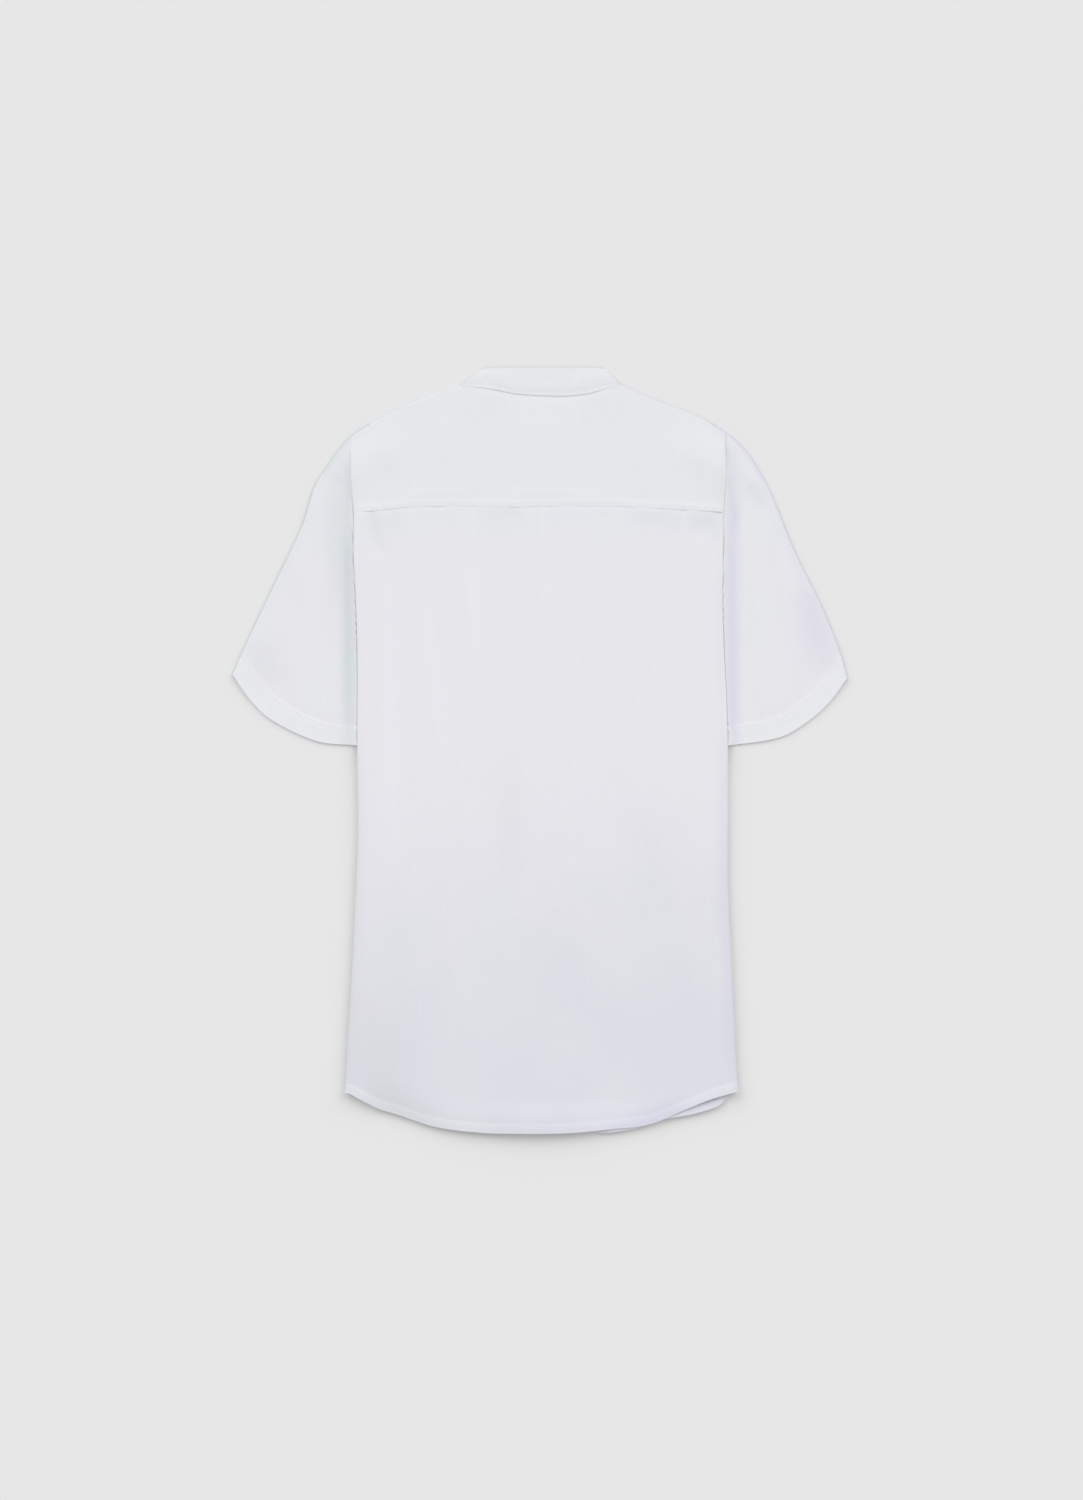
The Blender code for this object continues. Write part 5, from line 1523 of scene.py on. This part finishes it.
def makeStitchTree():
    tree, given, result = newTree("sewnRow", "GeometryNodeTree", [
        ("Geometry", "Geometry", None),
        ("Pitch", "Float", 0.0025),
        ("Length", "Float", 0.0019),
        ("Width", "Float", 0.00042),
        ("Height", "Float", 0.0003),
        ("Seed", "Int", 7),
        ("Thread", "Material", None),
    ], [("Geometry", "Geometry")])
    curve = addNode(tree, "GeometryNodeMeshToCurve", (-900, 200), {0: given["Geometry"]}).outputs[0]
    spaced = addNode(tree, "GeometryNodeResampleCurve", (-650, 200), {"Curve": curve, "Length": given["Pitch"]},
                     mode="LENGTH").outputs[0]
    ball = addNode(tree, "GeometryNodeMeshUVSphere", (-900, -200), {"Segments": 6, "Rings": 4, "Radius": 0.5})
    upright = addNode(tree, "GeometryNodeTransform", (-650, -200), {
        "Geometry": ball.outputs["Mesh"], "Rotation": (0.0, math.pi / 2.0, 0.0),
    }).outputs[0]
    shape = addNode(tree, "ShaderNodeCombineXYZ", (-650, -450), {
        0: given["Length"], 1: given["Width"], 2: given["Height"],
    }).outputs[0]
    sized = addNode(tree, "GeometryNodeTransform", (-400, -250), {"Geometry": upright, "Scale": shape}).outputs[0]
    tangent = addNode(tree, "GeometryNodeInputTangent", (-650, 0)).outputs[0]
    aim = addNode(tree, "FunctionNodeAlignRotationToVector", (-400, 0), {"Vector": tangent}, axis="X").outputs[0]
    vary = addNode(tree, "FunctionNodeRandomValue", (-400, -500), {2: 0.9, 3: 1.08, "Seed": given["Seed"]},
                   data_type="FLOAT").outputs[1]
    instance = addNode(tree, "GeometryNodeInstanceOnPoints", (-100, 100), {
        "Points": spaced, "Instance": sized, "Rotation": aim, "Scale": vary,
    }).outputs[0]
    smooth = addNode(tree, "GeometryNodeSetShadeSmooth", (150, 100), {"Geometry": instance}).outputs[0]
    dressInstances(tree, result, smooth, given["Thread"])
    return tree


def growMesh(host, tree, values):
    # runs a tree on an object, keeps what it makes as a plain mesh and drops the modifier
    modifier = host.modifiers.new("grow", "NODES")
    modifier.node_group = tree
    for item in tree.interface.items_tree:
        if item.in_out == "INPUT" and item.name in values:
            modifier[item.identifier] = values[item.name]
    bpy.context.view_layer.update()
    evaluated = host.evaluated_get(bpy.context.evaluated_depsgraph_get())
    mesh = bpy.data.meshes.new_from_object(evaluated)
    host.modifiers.remove(modifier)
    host.data = mesh
    print(host.name, len(mesh.polygons), "faces")
    return host


stitchTree = makeStitchTree()


def sewLines(name, lines, slot, sizes):
    points, edges = [], []
    for line in lines:
        start = len(points)
        points.extend(((line + np.array([middleX, 0.0, -sizes["sink"]])) * mm).tolist())
        edges.extend((k, k + 1) for k in range(start, len(points) - 1))
    mesh = bpy.data.meshes.new(name)
    mesh.from_pydata(points, edges, [])
    return joinFrame(growMesh(addObject(name, mesh), stitchTree, {
        "Pitch": sizes["pitch"] * mm, "Length": sizes["length"] * mm, "Width": sizes["width"] * mm,
        "Height": sizes["height"] * mm, "Seed": sizes["seed"], "Thread": sewingThread,
    }), slot)


for sheet, name in (
        (backSheet, "back_hem"), (yokeSheet, "yoke"), (collarSheet, "collar"), (leftSleeve, "left_sleeve"),
        (rightSleeve, "right_sleeve"), (leftFront, "left_front"), (rightFront, "right_front")):
    sheet.stitching = sewLines(name + "_stitching", sheet.lines, sheet.slot,
                               collarStitch if sheet is collarSheet else stitch)
print("stitches ready")

# buttons and buttonholes, beneath

button = {
    "count": 7,
    "topY": 245.0,
    "spacing": 88.0,
    "segments": 40,
    "rim": [                  # radius and height, from the back round the edge to the dished face
        (4.9, 2.0), (5.25, 1.86), (5.45, 1.5), (5.5, 1.05), (5.4, 0.55), (5.12, 0.2), (4.65, 0.03), (4.25, 0.05),
        (3.8, 0.26), (3.45, 0.44), (3.1, 0.5),
    ],
    "back": 2.0,
    "holeRadius": 0.72,
    "holeAt": 1.15,
    "holeSegments": 14,
    "threadRadius": 0.2,
    "threadSides": 6,
    "threadSteps": 13,
    "threadDip": 0.27,        # how low the thread hangs over the dished face
    "threadEnd": 0.42,        # and where it enters a hole
    "threadDepths": [2.36, 1.4, 0.7],   # the levels that it passes in the hole
    "strandAside": 0.22,
    "holeLength": 15.0,
    "holeWidth": 2.6,
    "holeHeight": 2.34,
}


def ringPoints(radius, count, x=0.0, y=0.0):
    turn = np.arange(count) * 2.0 * math.pi / count
    return np.stack([x + radius * np.cos(turn), y + radius * np.sin(turn)], axis=-1)


def solidMesh(name, verts, faces):
    # in metres, without loose points and with its faces turned outwards
    mesh = bpy.data.meshes.new(name)
    mesh.from_pydata((np.array(verts) * mm).tolist(), [], faces)
    work = bmesh.new()
    work.from_mesh(mesh)
    bmesh.ops.delete(work, geom=[vert for vert in work.verts if not vert.link_faces], context="VERTS")
    bmesh.ops.recalc_face_normals(work, faces=work.faces)
    work.to_mesh(mesh)
    work.free()
    mesh.shade_smooth()
    return mesh


def makeButtonMesh(sizes):
    count, at, rim = sizes["segments"], sizes["holeAt"], sizes["rim"]
    plan = [ringPoints(rim[0][0], count), ringPoints(rim[-1][0], count)]
    plan += [ringPoints(sizes["holeRadius"], sizes["holeSegments"], x, y) for x in (-at, at) for y in (-at, at)]
    starts = np.cumsum([0] + [len(ring) for ring in plan]).tolist()
    edges = [(start + k, start + (k + 1) % len(ring)) for start, ring in zip(starts, plan) for k in range(len(ring))]
    points, _, triangles = delaunay_2d_cdt([Vector(p) for p in np.concatenate(plan)], edges, [], 0, 1e-6)[:3]
    points = np.array([tuple(p) for p in points])
    centres = np.array([points[list(t)].mean(axis=0) for t in triangles])
    inHole = np.zeros(len(triangles), bool)
    for ring in plan[2:]:
        inHole |= np.hypot(*(centres - ring.mean(axis=0)).T) < sizes["holeRadius"] * 0.98
    verts, faces = [], []

    def addRing(ring, z):
        verts.extend([(x, y, z) for x, y in ring])
        return list(range(len(verts) - len(ring), len(verts)))

    def joinRings(first, second):
        size = len(first)
        faces.extend((first[k], first[(k + 1) % size], second[(k + 1) % size], second[k]) for k in range(size))

    upper = addRing(points, sizes["back"])
    faces.extend(tuple(upper[k] for k in t) for t, out in zip(triangles, inHole) if not out)
    lower = addRing(points, rim[-1][1])
    dished = (np.hypot(*centres.T) < rim[-1][0]) & ~inHole
    faces.extend(tuple(lower[k] for k in reversed(t)) for t, kept in zip(triangles, dished) if kept)
    rings = [upper[:count]] + [addRing(ringPoints(radius, count), z) for radius, z in rim[1:-1]]
    rings.append(lower[count:2 * count])
    for first, second in zip(rings[:-1], rings[1:]):
        joinRings(second, first)
    for start, end in zip(starts[2:-1], starts[3:]):
        joinRings(upper[start:end], lower[start:end])
    mesh = solidMesh("buttonShape", verts, faces)
    mesh.set_sharp_from_angle(angle=math.radians(35.0))
    return mesh


def makeThreadMesh(sizes):
    # two pairs of strands over the dished face, each down through its holes to the placket
    at, sides, depths = sizes["holeAt"], sizes["threadSides"], sizes["threadDepths"]
    share = np.linspace(0.0, 1.0, sizes["threadSteps"])
    over = mix(sizes["threadDip"], sizes["threadEnd"], (2.0 * share - 1.0) ** 4)
    x = np.concatenate([np.full(len(depths), -at), mix(-at, at, share), np.full(len(depths), at)])
    z = np.concatenate([depths, over, depths[::-1]])
    across = np.array([0.0, 1.0, 0.0])
    turn = (np.arange(sides) * 2.0 * math.pi / sides)[:, None]
    verts, faces = [], []
    for y in (-at, at):
        for aside in (-sizes["strandAside"], sizes["strandAside"]):
            path = np.stack([x, np.full_like(x, y + aside), z], axis=-1)
            way = np.gradient(path, axis=0)
            way /= np.linalg.norm(way, axis=1, keepdims=True)
            ring = np.cos(turn) * across + np.sin(turn) * np.cross(way, across)[:, None]
            start = len(verts)
            verts.extend((path[:, None] + sizes["threadRadius"] * ring).reshape(-1, 3))
            for first in range(start, len(verts) - sides, sides):
                for k in range(sides):
                    a, b = first + k, first + (k + 1) % sides
                    faces.append((a, b, b + sides, a + sides))
            faces.append(tuple(reversed(range(start, start + sides))))
            faces.append(tuple(range(len(verts) - sides, len(verts))))
    return solidMesh("buttonThread", verts, faces)


def makeRowTree():
    tree, given, result = newTree("repeatedRow", "GeometryNodeTree", [
        ("Geometry", "Geometry", None),
        ("Count", "Int", 7),
        ("Start", "Vector", None),
        ("Step", "Vector", None),
        ("Shell", "Material", None),
    ], [("Geometry", "Geometry")])
    row = addNode(tree, "GeometryNodeMeshLine", (-550, 150), {
        "Count": given["Count"], "Start Location": given["Start"], "Offset": given["Step"],
    })
    instance = addNode(tree, "GeometryNodeInstanceOnPoints", (-300, 0), {
        "Points": row.outputs["Mesh"], "Instance": given["Geometry"],
    })
    dressInstances(tree, result, instance.outputs[0], given["Shell"])
    return tree


def makeButtons(sizes):
    rowTree = makeRowTree()
    nodes = ["button_" + str(number + 1) for number in range(sizes["count"])]
    for name, mesh, material, slot, replaced in (
            ("placket_buttons", makeButtonMesh(sizes), buttonShell, "button_white", nodes),
            ("placket_button_threads", makeThreadMesh(sizes), sewingThread, "white_linen", [])):
        joinFrame(growMesh(addObject(name, mesh), rowTree, {
            "Count": sizes["count"], "Start": (middleX * mm, sizes["topY"] * mm, 0.0),
            "Step": (0.0, -sizes["spacing"] * mm, 0.0), "Shell": material,
        }), slot, *replaced)


def makeButtonholes(sizes):
    half, radius = (sizes["holeLength"] - sizes["holeWidth"]) / 2.0, sizes["holeWidth"] / 2.0
    turn = np.linspace(0.0, math.pi, 9)
    end = np.stack([radius * np.cos(turn), half + radius * np.sin(turn), np.zeros(len(turn))], axis=-1)
    loop = np.concatenate([end, -end, end[:1]])
    loops = [loop + np.array([0.0, sizes["topY"] - sizes["spacing"] * number, sizes["holeHeight"]])
             for number in range(sizes["count"])]
    return sewLines("buttonhole_stitching", loops, "white_linen", buttonholeStitch)


makeButtons(button)
buttonholes = makeButtonholes(button)
